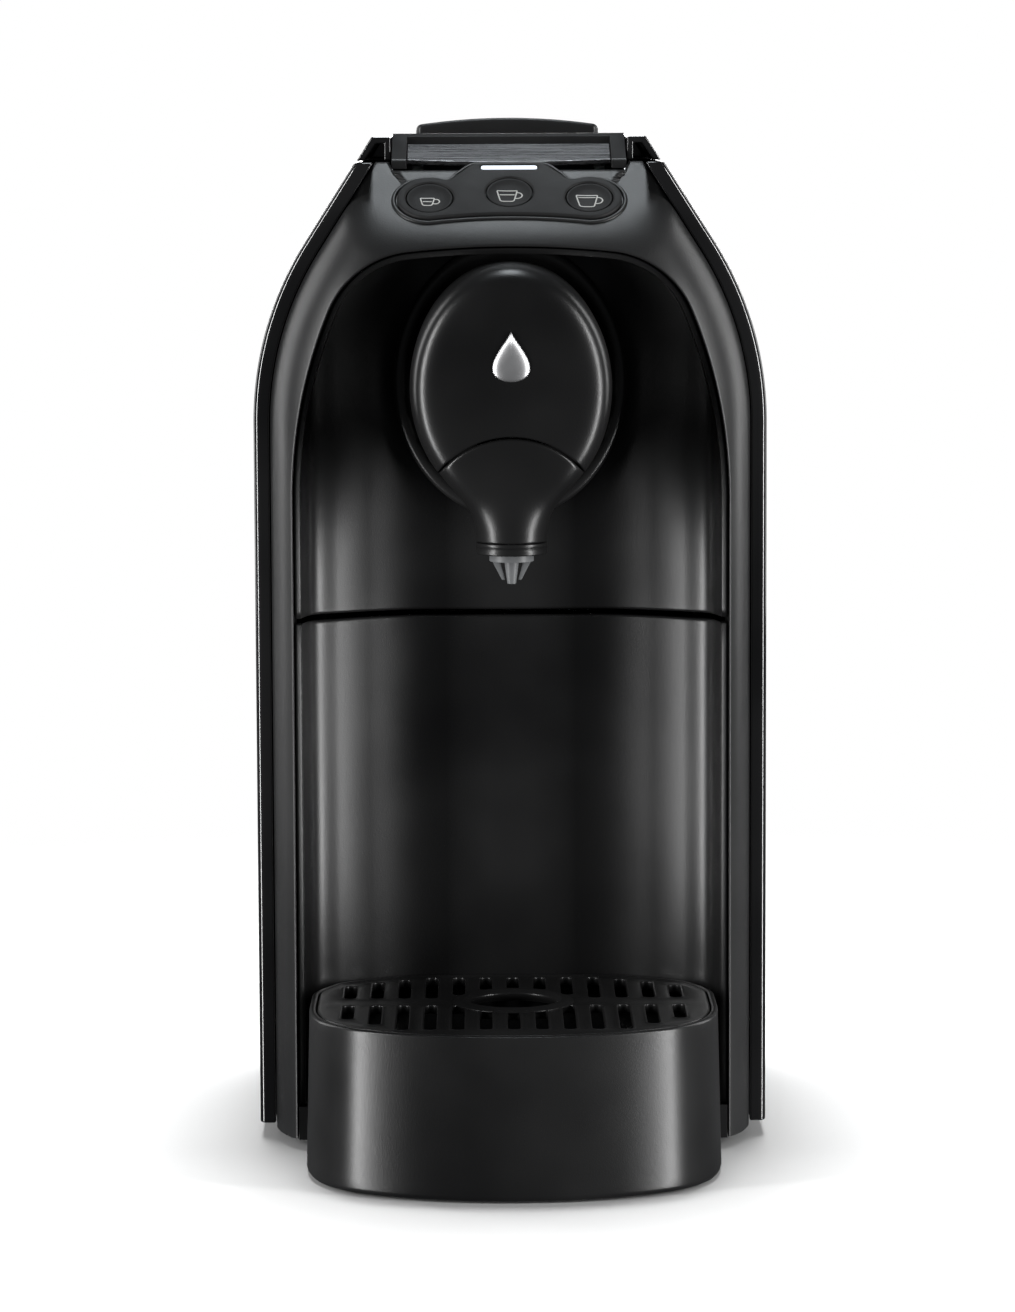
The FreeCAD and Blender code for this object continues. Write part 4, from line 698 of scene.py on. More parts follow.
arch_far = nearest(points, arch_line(0, FRAME_LOW - 30, FRAME_COUNTS))
rim_line = np.vstack([side_line(outer_inset, FRAME_LOW - 30, CASING_TOP), deck_edge[1:]])
rim_far = nearest(points, rim_line)
plain_rim = np.vstack([side_line(outer_inset, FRAME_LOW - 30, CASING_TOP), [(0, CASING_TOP)]])
share = arch_far / np.maximum(arch_far + nearest(points, plain_rim), 1e-6)
slope_y = BEZEL_Y + (SHELL_Y - BEZEL_Y) * (0.5 * share + 0.5 * share ** 3)
fascia_y = BEZEL_Y + (points[:, 1] - FASCIA_Z) * fascia_cos / fascia_sin
bezel_y = smooth_max(slope_y, fascia_y, FASCIA_BLEND) + edge_drop(arch_far, 0.9) + edge_drop(rim_far, 1.1)
face = np.column_stack([points[:, 0], bezel_y, points[:, 1]]).reshape(*flat.shape[:2], 3)
TUNNEL_BACK, RETURN = -11.6, 9.0
tunnel = np.repeat(face[:, :1], 3, axis=1)
tunnel[..., 1] = np.stack([np.full(len(face), TUNNEL_BACK), 0.5 * (TUNNEL_BACK + face[:, 0, 1]),
                           face[:, 0, 1] + 0.6], 1)
back = np.repeat(face[:, -1:], 2, axis=1)
back[..., 1] += np.array([0.5, RETURN])[None]
face = np.concatenate([tunnel, face, back], 1)
face = np.concatenate([face, face[-2::-1] * [-1, 1, 1]])
frame_face = swept("front_frame_face", face, "front_frame", closed=False, caps=False, facing=(0, -1, 0.3))
print("front frame:", face.shape)

# %% [markdown]
# ## Recess
# Seen from above, the recess is flat in the middle and sweeps forward to the rims. That plan is one smooth
# curve through a few points; the surface is the curve raised from the seam to the arch above it. A rim
# follows the arch, and a shallow oval dish stands behind the brew head.

# %% Recess and container fronts
plan_right = through([(0, RECESS_Y), (18, RECESS_Y), (35, RECESS_Y - 0.1), (51, RECESS_Y - 6.0), (62, -22.0),
                      (71.0, -27.8), (RIM_HALF - RIM_WIDE, -38.6)], 84)
plan = np.vstack([plan_right[:0:-1] * [-1, 1], plan_right])
SEAM_HALF, SEAM_ROUND, RECESS_INSET = 1.0, 1.4, ARCH_HALF - RIM_HALF
arch_inner = arch_line(RECESS_INSET + RIM_WIDE - 0.05, SEAM_Z, (3, 24, 24, 40))
arch_right = arch_inner[:len(arch_inner) // 2 + 1][::-1]


def top_above(x):
    """The arch's height above a place across: the outline read as height over distance from the middle."""
    return np.interp(np.abs(x), arch_right[:, 0], arch_right[:, 1])


rolled = np.r_[0, np.geomspace(0.12, SEAM_ROUND, 6)]
low_z = SEAM_Z + SEAM_HALF
tops = top_above(plan[:, 0])
share = np.linspace(0, 1, 60)[1:]
heights = np.concatenate([low_z + np.tile(rolled, (len(plan), 1)),
                          low_z + SEAM_ROUND + share[None] * (tops[:, None] - low_z - SEAM_ROUND)], 1)
depth = plan[:, 1][:, None] + edge_drop(heights - low_z, SEAM_ROUND)
recess = np.stack([np.broadcast_to(plan[:, :1], heights.shape), depth, heights], -1)
turn_in = recess[:, :1] + [0, 1.6, 0]
swept("recess_face", np.concatenate([turn_in, recess], 1), "recess_panel", closed=False, caps=False,
      facing=(0, -1, 0))

rim_section = softened_corners([(RECESS_INSET, RIM_Y), (RECESS_INSET + RIM_WIDE, RIM_Y + 1.1),
                                (RECESS_INSET + RIM_WIDE, RECESS_Y + 1.5), (RECESS_INSET, RECESS_Y + 1.5)],
                               [0.5, 0.5, 0, 0], 6)
lines = np.stack([arch_line(inset, low_z, (12, 30, 30, 30)) for inset in rim_section[:, 0]], 1)
rim = np.stack([lines[..., 0], np.broadcast_to(rim_section[:, 1], lines.shape[:2]), lines[..., 1]], -1)
swept("recess_rim", rim, "recess_panel")

# the container's front is the same plan below the seam, with its own upright rims
CONTAINER_LOW = 16.0
high_z = SEAM_Z - SEAM_HALF
levels = np.r_[CONTAINER_LOW + rolled, np.linspace(CONTAINER_LOW + 3, high_z - 3, 24),
               (high_z - rolled)[::-1]]
away = np.minimum(levels - CONTAINER_LOW, high_z - levels)
front = np.stack([np.broadcast_to(plan[:, :1], (len(plan), len(levels))),
                  plan[:, 1][:, None] + edge_drop(away, SEAM_ROUND)[None],
                  np.broadcast_to(levels, (len(plan), len(levels)))], -1)
back_wall = front[::-1] * [0.994, 1, 1] + [0, 2.1, 0]
shell = np.concatenate([front, back_wall])
faces = grid_faces(len(shell), len(levels), close_rows=True)
ends = [[i * len(levels) + k for i in range(len(shell))] for k in (0, len(levels) - 1)]
add_piece("container_front", shell, faces + ends, "capsule_container")
for side in (1, -1):
    section = softened_corners([(RIM_HALF, RIM_Y), (RIM_HALF - RIM_WIDE, RIM_Y + 1.1),
                                (RIM_HALF - RIM_WIDE, -34), (RIM_HALF, -34)], [0.5, 0.5, 0, 0], 6)
    rows = [(CONTAINER_LOW, 0.4), (CONTAINER_LOW + 0.4, 0)]
    rows += [(z, 0) for z in np.linspace(30, high_z - 0.4, 8)] + [(high_z, 0.4)]
    rings = [np.column_stack([side * shrunk(section, drop)[:, 0], shrunk(section, drop)[:, 1],
                              np.full(len(section), z)]) for z, drop in rows]
    swept(f"container_rim_{'right' if side > 0 else 'left'}", rings, "capsule_container", stands_for=False)
print("recess:", recess.shape, "container front:", front.shape)

# %% [markdown]
# ## Container bin
# Behind its front, the container is an open box that catches used capsules. One line of insets and
# heights goes up the outside, over the rim and down the inside, and carries a rounded plan with it.

# %% Container bin, behind its front
BIN_HALF, BIN_BACK, BIN_FRONT, BIN_WALL = 70.0, 36.0, -9.6, 2.2


def round_box(half, front, back, radius):
    """A plan of four straight sides and four round corners."""
    return softened_corners([(half, front), (half, back), (-half, back), (-half, front)], [radius] * 4, 8)


bin_rows = [(0.8, CONTAINER_LOW), (0, CONTAINER_LOW + 0.8), (0, high_z - 3.4), (0.4, high_z - 3),
            (1.8, high_z - 3), (BIN_WALL, high_z - 3.4), (BIN_WALL, CONTAINER_LOW + 3),
            (BIN_WALL + 0.8, CONTAINER_LOW + 2.2)]
bin_rings = []
for inset, level in bin_rows:
    ring = round_box(BIN_HALF - inset, BIN_FRONT + inset, BIN_BACK - inset, 4.0 - min(inset, 2.0))
    bin_rings.append(np.column_stack([ring, np.full(len(ring), level)]))
swept("container_bin", bin_rings, "capsule_container", stands_for=False)

# %% [markdown]
# ## Dish behind the head
# A shallow oval bowl stands out of the recess, and the head sits in it. Its rings are ovals that shrink
# by a step and move in depth by another, which rolls the lip over; the arch cuts off its top.

# %% Dish behind the head
HEAD_Z, BOSS_HALF, BOSS_TALL = 274.5, 41.8, 49.5
boss_steps = np.array([(-0.2, RECESS_Y + 1), (0.0, -17.4), (0.3, -18.6), (1.0, -19.4), (2.0, -19.8),
                       (3.6, -19.6), (5.0, -18.6), (6.4, -16.2), (8.6, -14.2), (14, -13.2), (22, -13)])
around = np.radians(np.linspace(0, 360, 129)[:-1])
oval = np.stack([np.cos(around)[:, None] * (BOSS_HALF - boss_steps[:, 0]),
                 np.broadcast_to(boss_steps[:, 1], (len(around), len(boss_steps))),
                 HEAD_Z + np.sin(around)[:, None] * (BOSS_TALL - boss_steps[:, 0])], -1)
oval[..., 2] = np.minimum(oval[..., 2], top_above(oval[..., 0]) - 0.1)
swept("head_dish", oval, "recess_panel", closed=False, caps=False, facing=(0, -1, 0), around=True)
print("dish:", oval.shape)

# %% [markdown]
# ## Brew head
# The head is a deep oval dome: at a share rho of the way to its edge it stands (1 - rho^p)^(1/p) of its
# depth, which is nearly flat in front and turns sharply into its sides. A round seam cuts off its lower
# end, so the grid is laid in rays from the seam's centre and starts just outside the seam.

# %% Head
HEAD_HALF, HEAD_TALL, HEAD_FRONT, HEAD_BACK = 35.35, 43.0, -78.0, -20.4
SEAM_R, SEAM_MID, HEAD_POWER, SEAM_GAP = 32.1, 225.9, 11.0, 0.3


def head_depth(x, z):
    """The dome's depth: flat in front with a slight crown, closing on a superellipse towards its edge."""
    rho = np.sqrt((x / HEAD_HALF) ** 2 + ((z - HEAD_Z) / HEAD_TALL) ** 2)
    wall = np.maximum(1 - np.minimum(rho, 1) ** HEAD_POWER, 0) ** (1 / HEAD_POWER)
    crown = 2.6 * np.minimum(rho, 1) ** 2
    return HEAD_BACK + (HEAD_FRONT + crown - HEAD_BACK) * wall


def ray_reach(turn):
    """Where a ray from the seam's centre enters and leaves the head's oval: the roots of a quadratic."""
    s, c = np.sin(turn), np.cos(turn)
    offset = SEAM_MID - HEAD_Z
    a = (s / HEAD_HALF) ** 2 + (c / HEAD_TALL) ** 2
    b = 2 * c * offset / HEAD_TALL ** 2
    k = (offset / HEAD_TALL) ** 2 - 1
    root = np.sqrt(np.maximum(b * b - 4 * a * k, 0))
    return (-b - root) / (2 * a), (-b + root) / (2 * a)


offset = HEAD_Z - SEAM_MID
widest = math.atan(HEAD_HALF / math.sqrt(offset ** 2 - HEAD_TALL ** 2)) - 1e-4
rays = widest * np.sin(np.radians(np.linspace(-90, 90, 121)))
enter, leave = ray_reach(rays)
start = np.maximum(enter, SEAM_R + SEAM_GAP)
ease = np.linspace(0, 1, 110)
ease = 0.5 - 0.5 * np.cos(np.pi * ease)
ease = np.where(ease > 0.5, 1 - 2 * (1 - ease) ** 2, ease)
ease = (ease - ease[0]) / (ease[-1] - ease[0])
radial = start[:, None] + (leave - start)[:, None] * ease[None]
x = radial * np.sin(rays)[:, None]
z = SEAM_MID + radial * np.cos(rays)[:, None]
y = head_depth(x, z) + edge_drop(radial - start[:, None], 0.7) * (start > enter + 1e-6)[:, None]
head = np.stack([x, y, z], -1)
lip = head[:, :1] + [0, 3.0, 0]
lip[..., 1] = np.minimum(lip[..., 1], HEAD_BACK)
swept("head_cover_dome", np.concatenate([lip, head], 1), "brew_head_cover", closed=False, caps=False,
      facing=(0, -1, 0))
print("head dome:", head.shape)

# %% [markdown]
# ## Funnel
# Below the seam the head narrows into a round neck. The funnel's rings run from the neck up to the seam:
# each keeps the neck's round plan low down and takes on the dome's depth higher up. Its outline is a
# smooth curve that starts upright at the neck and leans out to meet the head's oval.

# %% Funnel
NECK_R, NECK_Z, OUTLET_Y = 12.2, 221.0, -61.5
meet = math.radians(52.4)
meet_x, meet_z = (SEAM_R - SEAM_GAP) * math.sin(meet), SEAM_MID + (SEAM_R - SEAM_GAP) * math.cos(meet)
flank = through([(NECK_R, NECK_Z), (NECK_R + 0.35, 225.5), (14.1, 231.0), (17.6, 236.2), (21.6, 240.8),
                 (meet_x, meet_z)], 48)
spin = np.radians(np.linspace(-180, 180, 145)[:-1])
climb = (flank[:, 1] - NECK_Z) / (meet_z - NECK_Z)
ahead = np.cos(spin) > -1e-9
side_share = np.sin(spin)
top_turn = side_share * meet
top_z = SEAM_MID + (SEAM_R - SEAM_GAP) * np.cos(top_turn)
mix = (climb ** 1.5)[:, None]
x = flank[:, :1] * ((1 - mix) * side_share + mix * np.sin(top_turn) / math.sin(meet))
z_front = NECK_Z + (top_z - NECK_Z)[None] * climb[:, None]
z_back = NECK_Z + (meet_z - NECK_Z) * climb[:, None]
z = np.where(ahead[None], z_front, z_back)
neck_y = OUTLET_Y - NECK_R * np.cos(spin)[None]
seam_y = np.where(ahead, head_depth((SEAM_R - SEAM_GAP) * np.sin(top_turn), top_z), HEAD_BACK)[None]
blend_in = (3 * climb ** 2 - 2 * climb ** 3)[:, None]
y = neck_y * (1 - blend_in) + seam_y * blend_in + np.where(ahead[None], edge_drop(np.abs(z[-1] - z), 0.7), 0)
funnel = np.stack([x, y, z], -1)
bottom = funnel[:1].copy()
bottom[..., 0] *= 0.9
bottom[..., 1] = OUTLET_Y + (bottom[..., 1] - OUTLET_Y) * 0.9
inner_top = funnel[-1:] + [0, 2.5, -0.4]
swept("funnel_cover", np.concatenate([bottom, funnel, inner_top]), "outlet_funnel")
print("funnel:", funnel.shape)


# %% [markdown]
# ## Collar
# The ring under the neck is turned, so it is a profile spun about an upright line. A fine groove runs
# round its middle.

# %% Round pieces under the funnel
def lathe(name, profile, middle, node, count=72, **more):
    """A profile of radius and height turned about an upright line; both ends lie on the line or close."""
    turn = np.radians(np.linspace(0, 360, count + 1)[:-1])
    profile = np.asarray(profile, float)
    rings = np.stack([middle[0] + profile[:, 0] * np.cos(turn)[:, None],
                      middle[1] + profile[:, 0] * np.sin(turn)[:, None],
                      np.broadcast_to(profile[:, 1], (count, len(profile)))], -1)
    return swept(name, rings, node, around=True, **more)


collar = softened_corners([(9.2, 216.6), (12.4, 216.6), (12.4, 219.0), (12.15, 219.2), (12.4, 219.4),
                            (12.4, 220.7), (9.2, 220.7)], [0, 0.5, 0, 0.1, 0, 0.35, 0], 5)
lathe("collar_ring", collar, (0, OUTLET_Y), "outlet_collar")

# %% [markdown]
# ## Badge
# A plain drop of water stands where a maker would put a mark: across it is the sine of the angle times
# a power of half its sine, up it is the cosine, and it domes towards its middle.

# %% Badge
DROP_HALF, DROP_TALL, DROP_Z, DROP_LIFT = 9.4, 8.8, HEAD_Z + 11.5, 1.6
turn = np.radians(np.linspace(0, 360, 97)[:-1])
drop_x, drop_z = DROP_HALF * np.sin(turn) * np.sin(turn / 2) ** 1.6, DROP_TALL * np.cos(turn)
rings = []
for scale, lift in [(0.001, 1.0), (0.25, 0.97), (0.5, 0.88), (0.7, 0.72), (0.85, 0.5), (0.94, 0.28),
                    (1.0, 0.0), (1.0, -0.4), (0.001, -0.4)]:
    rings.append(np.column_stack([drop_x * scale, np.zeros(len(turn)) + HEAD_FRONT + 0.2 - lift * DROP_LIFT,
                                  DROP_Z + drop_z * scale - 1.5 * (1 - scale)]))
swept("drop_badge", rings, "head_badge")
print("badge done")

# %% [markdown]
# ## Flat plates with rounded holes
# The drip grid and the control panel are plates with holes. Every rim is a small bead rolled over on a
# quarter circle. The faces between the rims are filled with triangles; a triangle belongs to the plate
# where a ray from its middle crosses the rims an odd number of times.


# %% Plates
def in_plate(spots, loops):
    """The odd-even rule for places against closed lines."""
    crossed = np.zeros(len(spots), int)
    for loop in loops:
        start, end = loop, np.roll(loop, -1, 0)
        straddles = (start[:, 1] > spots[:, None, 1]) != (end[:, 1] > spots[:, None, 1])
        rise = end[:, 1] - start[:, 1]
        slant = (end - start)[:, 0] / np.where(rise == 0, 1, rise)
        at = start[:, 0] + (spots[:, None, 1] - start[:, 1]) * slant
        crossed += (straddles & (spots[:, None, 0] < at)).sum(1)
    return crossed % 2 == 1


def plate(name, loops, thickness, bevel, bead, put, node, **more):
    """A plate between closed lines: the first is its outside, the rest are its holes."""
    turn = np.radians(np.linspace(0, 90, 5))
    rows = [(bevel + 0.75, thickness / 2 - bead), (bevel + 0.3, thickness / 2 - bead * 0.4)] * (bead > 0)
    rows += [(bevel * (1 - math.sin(t)), thickness / 2 - bevel * (1 - math.cos(t))) for t in turn]
    rows += [(bevel * (1 - math.cos(t)), -thickness / 2 + bevel * (1 - math.sin(t))) for t in turn]
    points, faces, tops, count = [], [], [], 0
    for index, loop in enumerate(loops):
        rings = [shrunk(loop, inset if index == 0 else -inset) for inset, _ in rows]
        points += [np.column_stack([ring, np.full(len(ring), row[1])]) for ring, row in zip(rings, rows)]
        tops.append(count + np.arange(len(loop)))
        places = count + np.arange(len(rows) * len(loop)).reshape(len(rows), -1)
        beside = np.roll(places, -1, 1)
        quads = np.stack([places[:-1], beside[:-1], beside[1:], places[1:]], -1).reshape(-1, 4)
        faces += quads.tolist()
        count += places.size
    points = np.vstack(points)
    order = np.concatenate(tops)
    edges, start = [], 0
    for top_ring in tops:
        size = len(top_ring)
        edges += [(start + k, start + (k + 1) % size) for k in range(size)]
        start += size
    cut = delaunay_2d_cdt([Vector(point) for point in points[order, :2]], edges, [], 0, 1e-7)
    found = np.array([tuple(spot) for spot in cut[0]])
    back_to = order[np.argmin(((found[:, None] - points[None, order, :2]) ** 2).sum(-1), 1)]
    triangles = back_to[np.array(cut[2])]
    lines = [points[ring, :2] for ring in tops]
    triangles = triangles[in_plate(points[triangles, :2].mean(1), lines)]
    drop = np.zeros(count, int)
    for top_ring in tops:
        drop[top_ring] = (len(rows) - 1) * len(top_ring)
    faces += triangles.tolist() + (triangles + drop[triangles])[:, ::-1].tolist()
    made = add_piece(name, put(points), faces, node, **more)
    made.data.set_sharp_from_angle(angle=math.radians(60))
    print(name, len(faces), "faces")
    return made


def stadium(x, low, high, wide, count=9):
    """A slot's outline: two straight sides and two half circles."""
    radius = wide / 2
    return np.vstack([arc((x, low + radius), radius, 180, 360, count),
                      arc((x, high - radius), radius, 0, 180, count)])


# %% [markdown]
# ## Drip tray
# The tray's plan is a bowed front, round corners, straight sides and a back that follows the recess. The
# wall is that plan at many heights; it leans in by a fiftieth towards the top and rolls over into a rim.

# %% Drip tray
TRAY_HALF, TRAY_FRONT, TRAY_LOW, TRAY_TOP, TRAY_LEAN = 73.0, -127.5, 0.8, 58.0, 0.02
quarter = through([(TRAY_HALF, -54), (TRAY_HALF, -74), (71.9, -85), (68.8, -96), (62.6, -106), (53.6, -113.9),
                   (37, -121.6), (18.5, -126.2), (0, TRAY_FRONT)], 150)
behind = through([(TRAY_HALF, -54), (72.4, -44), (67.4, -31.5), (63, -25.0), (51, -18.0), (36, -11.6),
                  (18, -11.1), (0, -11.1)], 80)
right_half = np.vstack([behind[:0:-1], quarter])
tray_base = np.vstack([right_half, (right_half * [-1, 1])[-2:0:-1]])


def tray_plan(inset, level):
    """The tray's outline at a height: the base line moved inwards, and leaning in towards the top."""
    return shrunk(tray_base, inset) * [1 - TRAY_LEAN * level / TRAY_TOP, 1]


GRID_THICK, SEAT_INSET, BASIN_INSET = 3.2, 2.4, 3.6
rows = [(2.2, TRAY_LOW), (1.0, 0.95), (0.35, 1.6), (0.0, 2.8)] + [(0, z) for z in np.linspace(6, 54, 9)]
rows += [(edge_drop(d, 1.0), 57.0 + (1.0 - d)) for d in (0.95, 0.7, 0.45, 0.25, 0.1, 0.0)]
rows += [(1.7, 58.0), (2.05, 57.85), (2.3, 57.5), (SEAT_INSET, 54.9), (2.6, 54.8), (BASIN_INSET, 54.8),
         (BASIN_INSET, 8), (BASIN_INSET + 0.6, 3.6), (BASIN_INSET + 2, 3.0)]
rings = []
for inset, level in rows:
    ring = tray_plan(inset, level)
    rings.append(np.column_stack([ring, np.full(len(ring), level)]))
swept("drip_tray_shell", rings, "drip_tray")
print("tray:", len(rows), "rings")

# %% [markdown]
# ## Drip grid
# Two rows of round-ended slots; those beside the cup's hole are shorter. The hole has a raised, dished rim.

# %% Drip grid
SLOT_PITCH, SLOT_WIDE, CUP_HOLE = 9.65, 4.4, 15.8
grid_loops = [tray_plan(2.9, TRAY_TOP)]
for column in range(-6, 7):
    across = abs(column) * SLOT_PITCH
    clear = math.sqrt(max(0.0, 21.5 ** 2 - across ** 2))
    back_end = (-17, -20.8, -26.0, -33)[max(0, abs(column) - 3)]
    front_end = -113 + max(0, abs(column) - 4) * 9.5
    for low, high in ((max(OUTLET_Y + 5, OUTLET_Y + clear + 1.5), back_end),
                      (front_end, min(OUTLET_Y - 7.5, OUTLET_Y - clear + 1.5))):
        if high - low >= SLOT_WIDE + 2:
            grid_loops.append(stadium(column * SLOT_PITCH, low, high, SLOT_WIDE))
grid_loops.append(arc((0, OUTLET_Y), CUP_HOLE, 0, 360, 97)[:-1])
plate("drip_grid_plate", grid_loops, GRID_THICK, 0.45, 0.4,
      lambda p: p + [0, 0, TRAY_TOP - GRID_THICK / 2], "drip_grid")
dish = softened_corners([(15.5, 55.4), (15.5, 57.6), (17.2, 58.9), (19.0, 58.9), (21.4, 57.9), (21.4, 57.4),
                         (17, 55.4)], [0, 0.5, 0.7, 0.9, 0.2, 0, 0], 6)
lathe("cup_rim", dish, (0, OUTLET_Y), "drip_grid", 120, stands_for=False)
print("slots:", len(grid_loops) - 2)

# %% [markdown]
# ## Controls
# The panel lies on the sloping fascia. Places on it are given across, up the slope and out of it, and one
# function turns them into places in the frame. The panel's outline is two round lobes joined by smooth
# curves over a raised middle, and an arched foot.

# %% Control panel
PANEL_THICK, PANEL_PROUD = 2.6, 1.6
BUTTON_R, BUTTON_X, BUTTON_V, MIDDLE_V, LIGHT_V = 8.2, 28.3, 23.8, 26.9, 41.3


def on_fascia(p):
    """Places across, up the slope and out of it, turned into the frame."""
    p = np.asarray(p, float)
    return np.stack([p[..., 0], BEZEL_Y + p[..., 1] * fascia_cos - p[..., 2] * fascia_sin,
                     FASCIA_Z + p[..., 1] * fascia_sin + p[..., 2] * fascia_cos], -1)


def panel_line(grow):
    """The panel's outline grown evenly: crest, S-curve, lobe, arched foot, and the same mirrored."""
    lobe = BUTTON_R + 3.4 + grow
    crest = LIGHT_V + 2.4 + grow
    shoulder = through([(0, crest), (8, crest), (12.8 + grow / 2, crest - 0.5),
                        (17.4 + grow / 2, crest - 5.0),
                        (21.8, BUTTON_V + lobe - 1.2), (BUTTON_X - 1.5, BUTTON_V + lobe - 0.1)], 44)
    lobe_line = arc((BUTTON_X, BUTTON_V), lobe, 90, -90, 40)
    low = BUTTON_V - lobe
    foot = arc_through((BUTTON_X, low), (0, low + 2.4), (-BUTTON_X, low), 41)
    right = np.vstack([shoulder, lobe_line])
    return np.vstack([right, foot[1:-1], (right[::-1] * [-1, 1])[:-1]])


BUTTONS = {"button_small": (-BUTTON_X, BUTTON_V), "button_medium": (0, MIDDLE_V),
           "button_large": (BUTTON_X, BUTTON_V)}
holes = [arc(place, BUTTON_R + 0.3, 0, 360, 65)[:-1] for place in BUTTONS.values()]
lamp_hole = stadium(0, -10.1, 10.1, 2.1)[:, ::-1] + [0, LIGHT_V]
plate("control_panel", [panel_line(0), *holes, lamp_hole], PANEL_THICK, 0.7, 0,
      lambda p: on_fascia(p + [0, 0, PANEL_PROUD - PANEL_THICK / 2]), "button_panel")

opening = bmesh.new()
opening.from_mesh(frame_face.data)
spots = np.array([vertex.co for vertex in opening.verts]) / MM - [0, BEZEL_Y, FASCIA_Z]
flat_spots = np.column_stack([spots[:, 0], spots[:, 1] * fascia_cos + spots[:, 2] * fascia_sin])
near = np.abs(spots[:, 2] * fascia_cos - spots[:, 1] * fascia_sin) < 1.2
covered = in_plate(flat_spots, [panel_line(-0.8)]) & near
unseen = [face for face in opening.faces if all(covered[vertex.index] for vertex in face.verts)]
bmesh.ops.delete(opening, geom=unseen, context="FACES")
opening.to_mesh(frame_face.data)
opening.free()
print("opened under the panel:", len(unseen), "faces")


def wire(name, path, radius, flat_ratio, normal, node, closed=False, **more):
    """A line drawn as a slim bar: each ring is an oval across the path and out of its plane."""
    path = np.asarray(path, float)
    way = (np.roll(path, -1, 0) - np.roll(path, 1, 0)) if closed else np.gradient(path, axis=0)
    way /= np.linalg.norm(way, axis=1)[:, None]
    across = np.cross(way, normal)
    turn = np.radians(np.linspace(0, 360, 11)[:-1])
    cosine, sine = np.cos(turn)[None, :, None], np.sin(turn)[None, :, None]
    rings = path[:, None] + radius * (across[:, None] * cosine + flat_ratio * normal[None, None] * sine)
    return swept(name, rings, node, around=closed, **more)


OUT = np.array([0, -fascia_sin, fascia_cos])
lip_line = panel_line(1.2)
lip = on_fascia(np.column_stack([lip_line, np.full(len(lip_line), 0.1)]))
wire("panel_lip", lip, 0.85, 0.7, OUT, "front_frame", closed=True, stands_for=False)

# %% [markdown]
# ## Buttons
# Each button is a soft dish with a raised lip, turned about its own middle. A small drawing of a cup says
# how much it pours: its bowl, its level and its handle are slim printed lines that follow the dish.

# %% Buttons and their drawings
button_dish = np.array([(0, 0.15), (2.5, 0.18), (4.6, 0.32), (6.2, 0.66), (7.3, 1.1), (7.8, 1.28),
                        (8.05, 1.2), (8.2, 0.9), (8.2, 0.4), (8.2, -2), (0, -2)])


def dish_height(p, place):
    """The dish's height at places on the fascia, from their distance to the button's middle."""
    return np.interp(np.hypot(p[:, 0] - place[0], p[:, 1] - place[1]), button_dish[:8, 0], button_dish[:8, 1])


turn = np.radians(np.linspace(0, 360, 73)[:-1])
PRINT_HALF, PRINT_FLAT = 0.24, 0.35
CUPS = ((5.0, 4.2, 0.66), (7.2, 6.2, 0.72), (7.6, 6.6, 0.9))
for (node, place), (wide, tall, level) in zip(BUTTONS.items(), CUPS):
    rings = np.stack([place[0] + button_dish[:, 0] * np.cos(turn)[:, None],
                      place[1] + button_dish[:, 0] * np.sin(turn)[:, None],
                      np.broadcast_to(button_dish[:, 1], (len(turn), len(button_dish)))], -1)
    swept(node + "_dish", on_fascia(rings), node, closed=False, around=True, caps=False)
    bowl = softened_corners([(-wide / 2, tall / 2), (-wide * 0.33, -tall / 2), (wide * 0.33, -tall / 2),
                             (wide / 2, tall / 2)], [0.2, 0.9, 0.9, 0.2], 6)
    inside = wide * (0.33 + 0.17 * level) - 0.6
    water = np.linspace((-inside, tall * (level - 0.5) - 0.5), (inside, tall * (level - 0.5) - 0.5), 12)
    handle = arc_through((wide * 0.47, tall * 0.32), (wide * 0.47 + 1.9, tall * 0.12),
                         (wide * 0.4, -tall * 0.2), 16)
    for part, line, closed in (("bowl", bowl, True), ("level", water, False), ("handle", handle, False)):
        drawn = resampled(np.vstack([line, line[:1]]) if closed else line, 60 if closed else 14)
        drawn = (drawn[:-1] if closed else drawn) + np.array(place) + [-0.8, -1.0]
        path = on_fascia(np.column_stack([drawn, dish_height(drawn, place) + 0.06]))
        wire(f"{node}_{part}", path, PRINT_HALF, PRINT_FLAT, OUT, node, closed=closed, slot="white_plastic",
             stands_for=False)
print("controls done")

# %% [markdown]
# ## Pieces of the frame with softened edges
# Some frame pieces have the right shape and only need rounded edges. Each is copied, its loose triangles
# are merged into flat faces, and a bevel rounds every edge that is sharper than a limit.


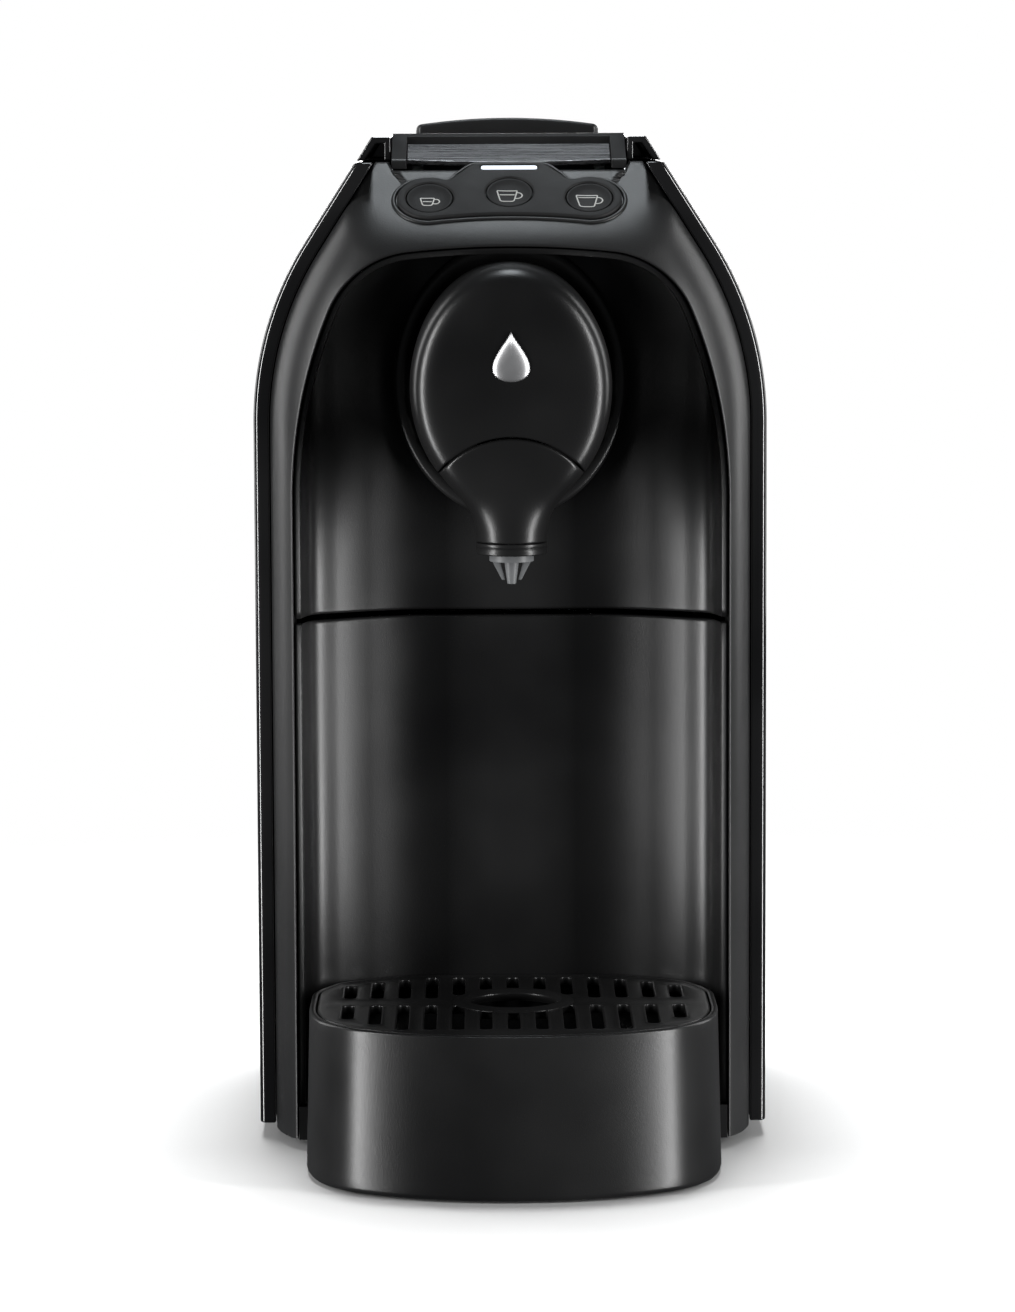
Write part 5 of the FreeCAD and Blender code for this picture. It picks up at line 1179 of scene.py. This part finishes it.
# %% Softened copies
def softened(node, width, limit=32, segments=3):
    """A copy of a frame piece with its edges rounded by a bevel."""
    mesh = bpy.data.meshes.new(node + "_soft")
    work = bmesh.new()
    work.from_mesh(frame["nodes"][node].data)
    bmesh.ops.remove_doubles(work, verts=work.verts, dist=1e-5)
    bmesh.ops.dissolve_limit(work, angle_limit=math.radians(0.6), verts=work.verts, edges=work.edges)
    bmesh.ops.recalc_face_normals(work, faces=work.faces)
    work.to_mesh(mesh)
    work.free()
    if "custom_normal" in mesh.attributes:
        mesh.attributes.remove(mesh.attributes["custom_normal"])
    mesh.materials.clear()
    mesh.materials.append(FINISH[SLOT_OF[node]])
    mesh.shade_smooth()
    made = bpy.data.objects.new(node + "_soft", mesh)
    scene.collection.objects.link(made)
    rounding = made.modifiers.new("rounding", "BEVEL")
    rounding.width, rounding.segments = width * MM, segments
    rounding.limit_method, rounding.angle_limit = "ANGLE", math.radians(limit)
    rounding.harden_normals = True
    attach(made, BODY_OF[node])
    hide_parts(node)
    return made


for node, width in (("lever_bracket", 1.1), ("lever_plate", 0.4), ("top_housing", 0.7), ("tank_lid", 0.8),
                    ("side_trims", 0.35), ("base_plate", 0.4), ("light_bar", 0.25), ("outlet_nozzle", 0.15)):
    softened(node, width)

# %% [markdown]
# ## Grip on the tank's lid
# A slim arched bar to lift the lid by. Its section is a rounded block whose height follows the arch, and
# both ends close on a half round.

# %% Lid grip
GRIP_HALF, GRIP_Y, GRIP_DEEP, GRIP_LOW, GRIP_TOP = 34.4, 87.0, 9.0, 361.0, 367.4
across = GRIP_HALF * np.sin(np.radians(np.linspace(-90, 90, 61)))
arch_height = GRIP_TOP - GRIP_LOW - 2.6 * (across / GRIP_HALF) ** 2
close = np.sqrt(np.maximum(1 - np.clip((np.abs(across) - (GRIP_HALF - 2.2)) / 2.2, 0, 1) ** 2, 0.0))
rings = []
for x, tall, shut in zip(across, arch_height, close):
    half_deep = GRIP_DEEP / 2 * (0.35 + 0.65 * shut)
    crown_z = GRIP_LOW + tall * (0.55 + 0.45 * shut)
    section = softened_corners([(-half_deep, GRIP_LOW), (half_deep, GRIP_LOW), (half_deep, crown_z),
                                (-half_deep, crown_z)], [0.1, 0.1, 1.5, 1.5], 7)
    depth = section[:, 0] + GRIP_Y + GRIP_DEEP / 2
    rings.append(np.column_stack([np.full(len(section), x), depth, section[:, 1]]))
swept("lid_grip_bar", rings, "lid_grip")
print("grip done")

# %% [markdown]
# ## Sizes and the end
# The box of all that shows is printed.

# %% Finish
low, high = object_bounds()
print("visual box:", [round(c, 4) for c in (*low, *high)])
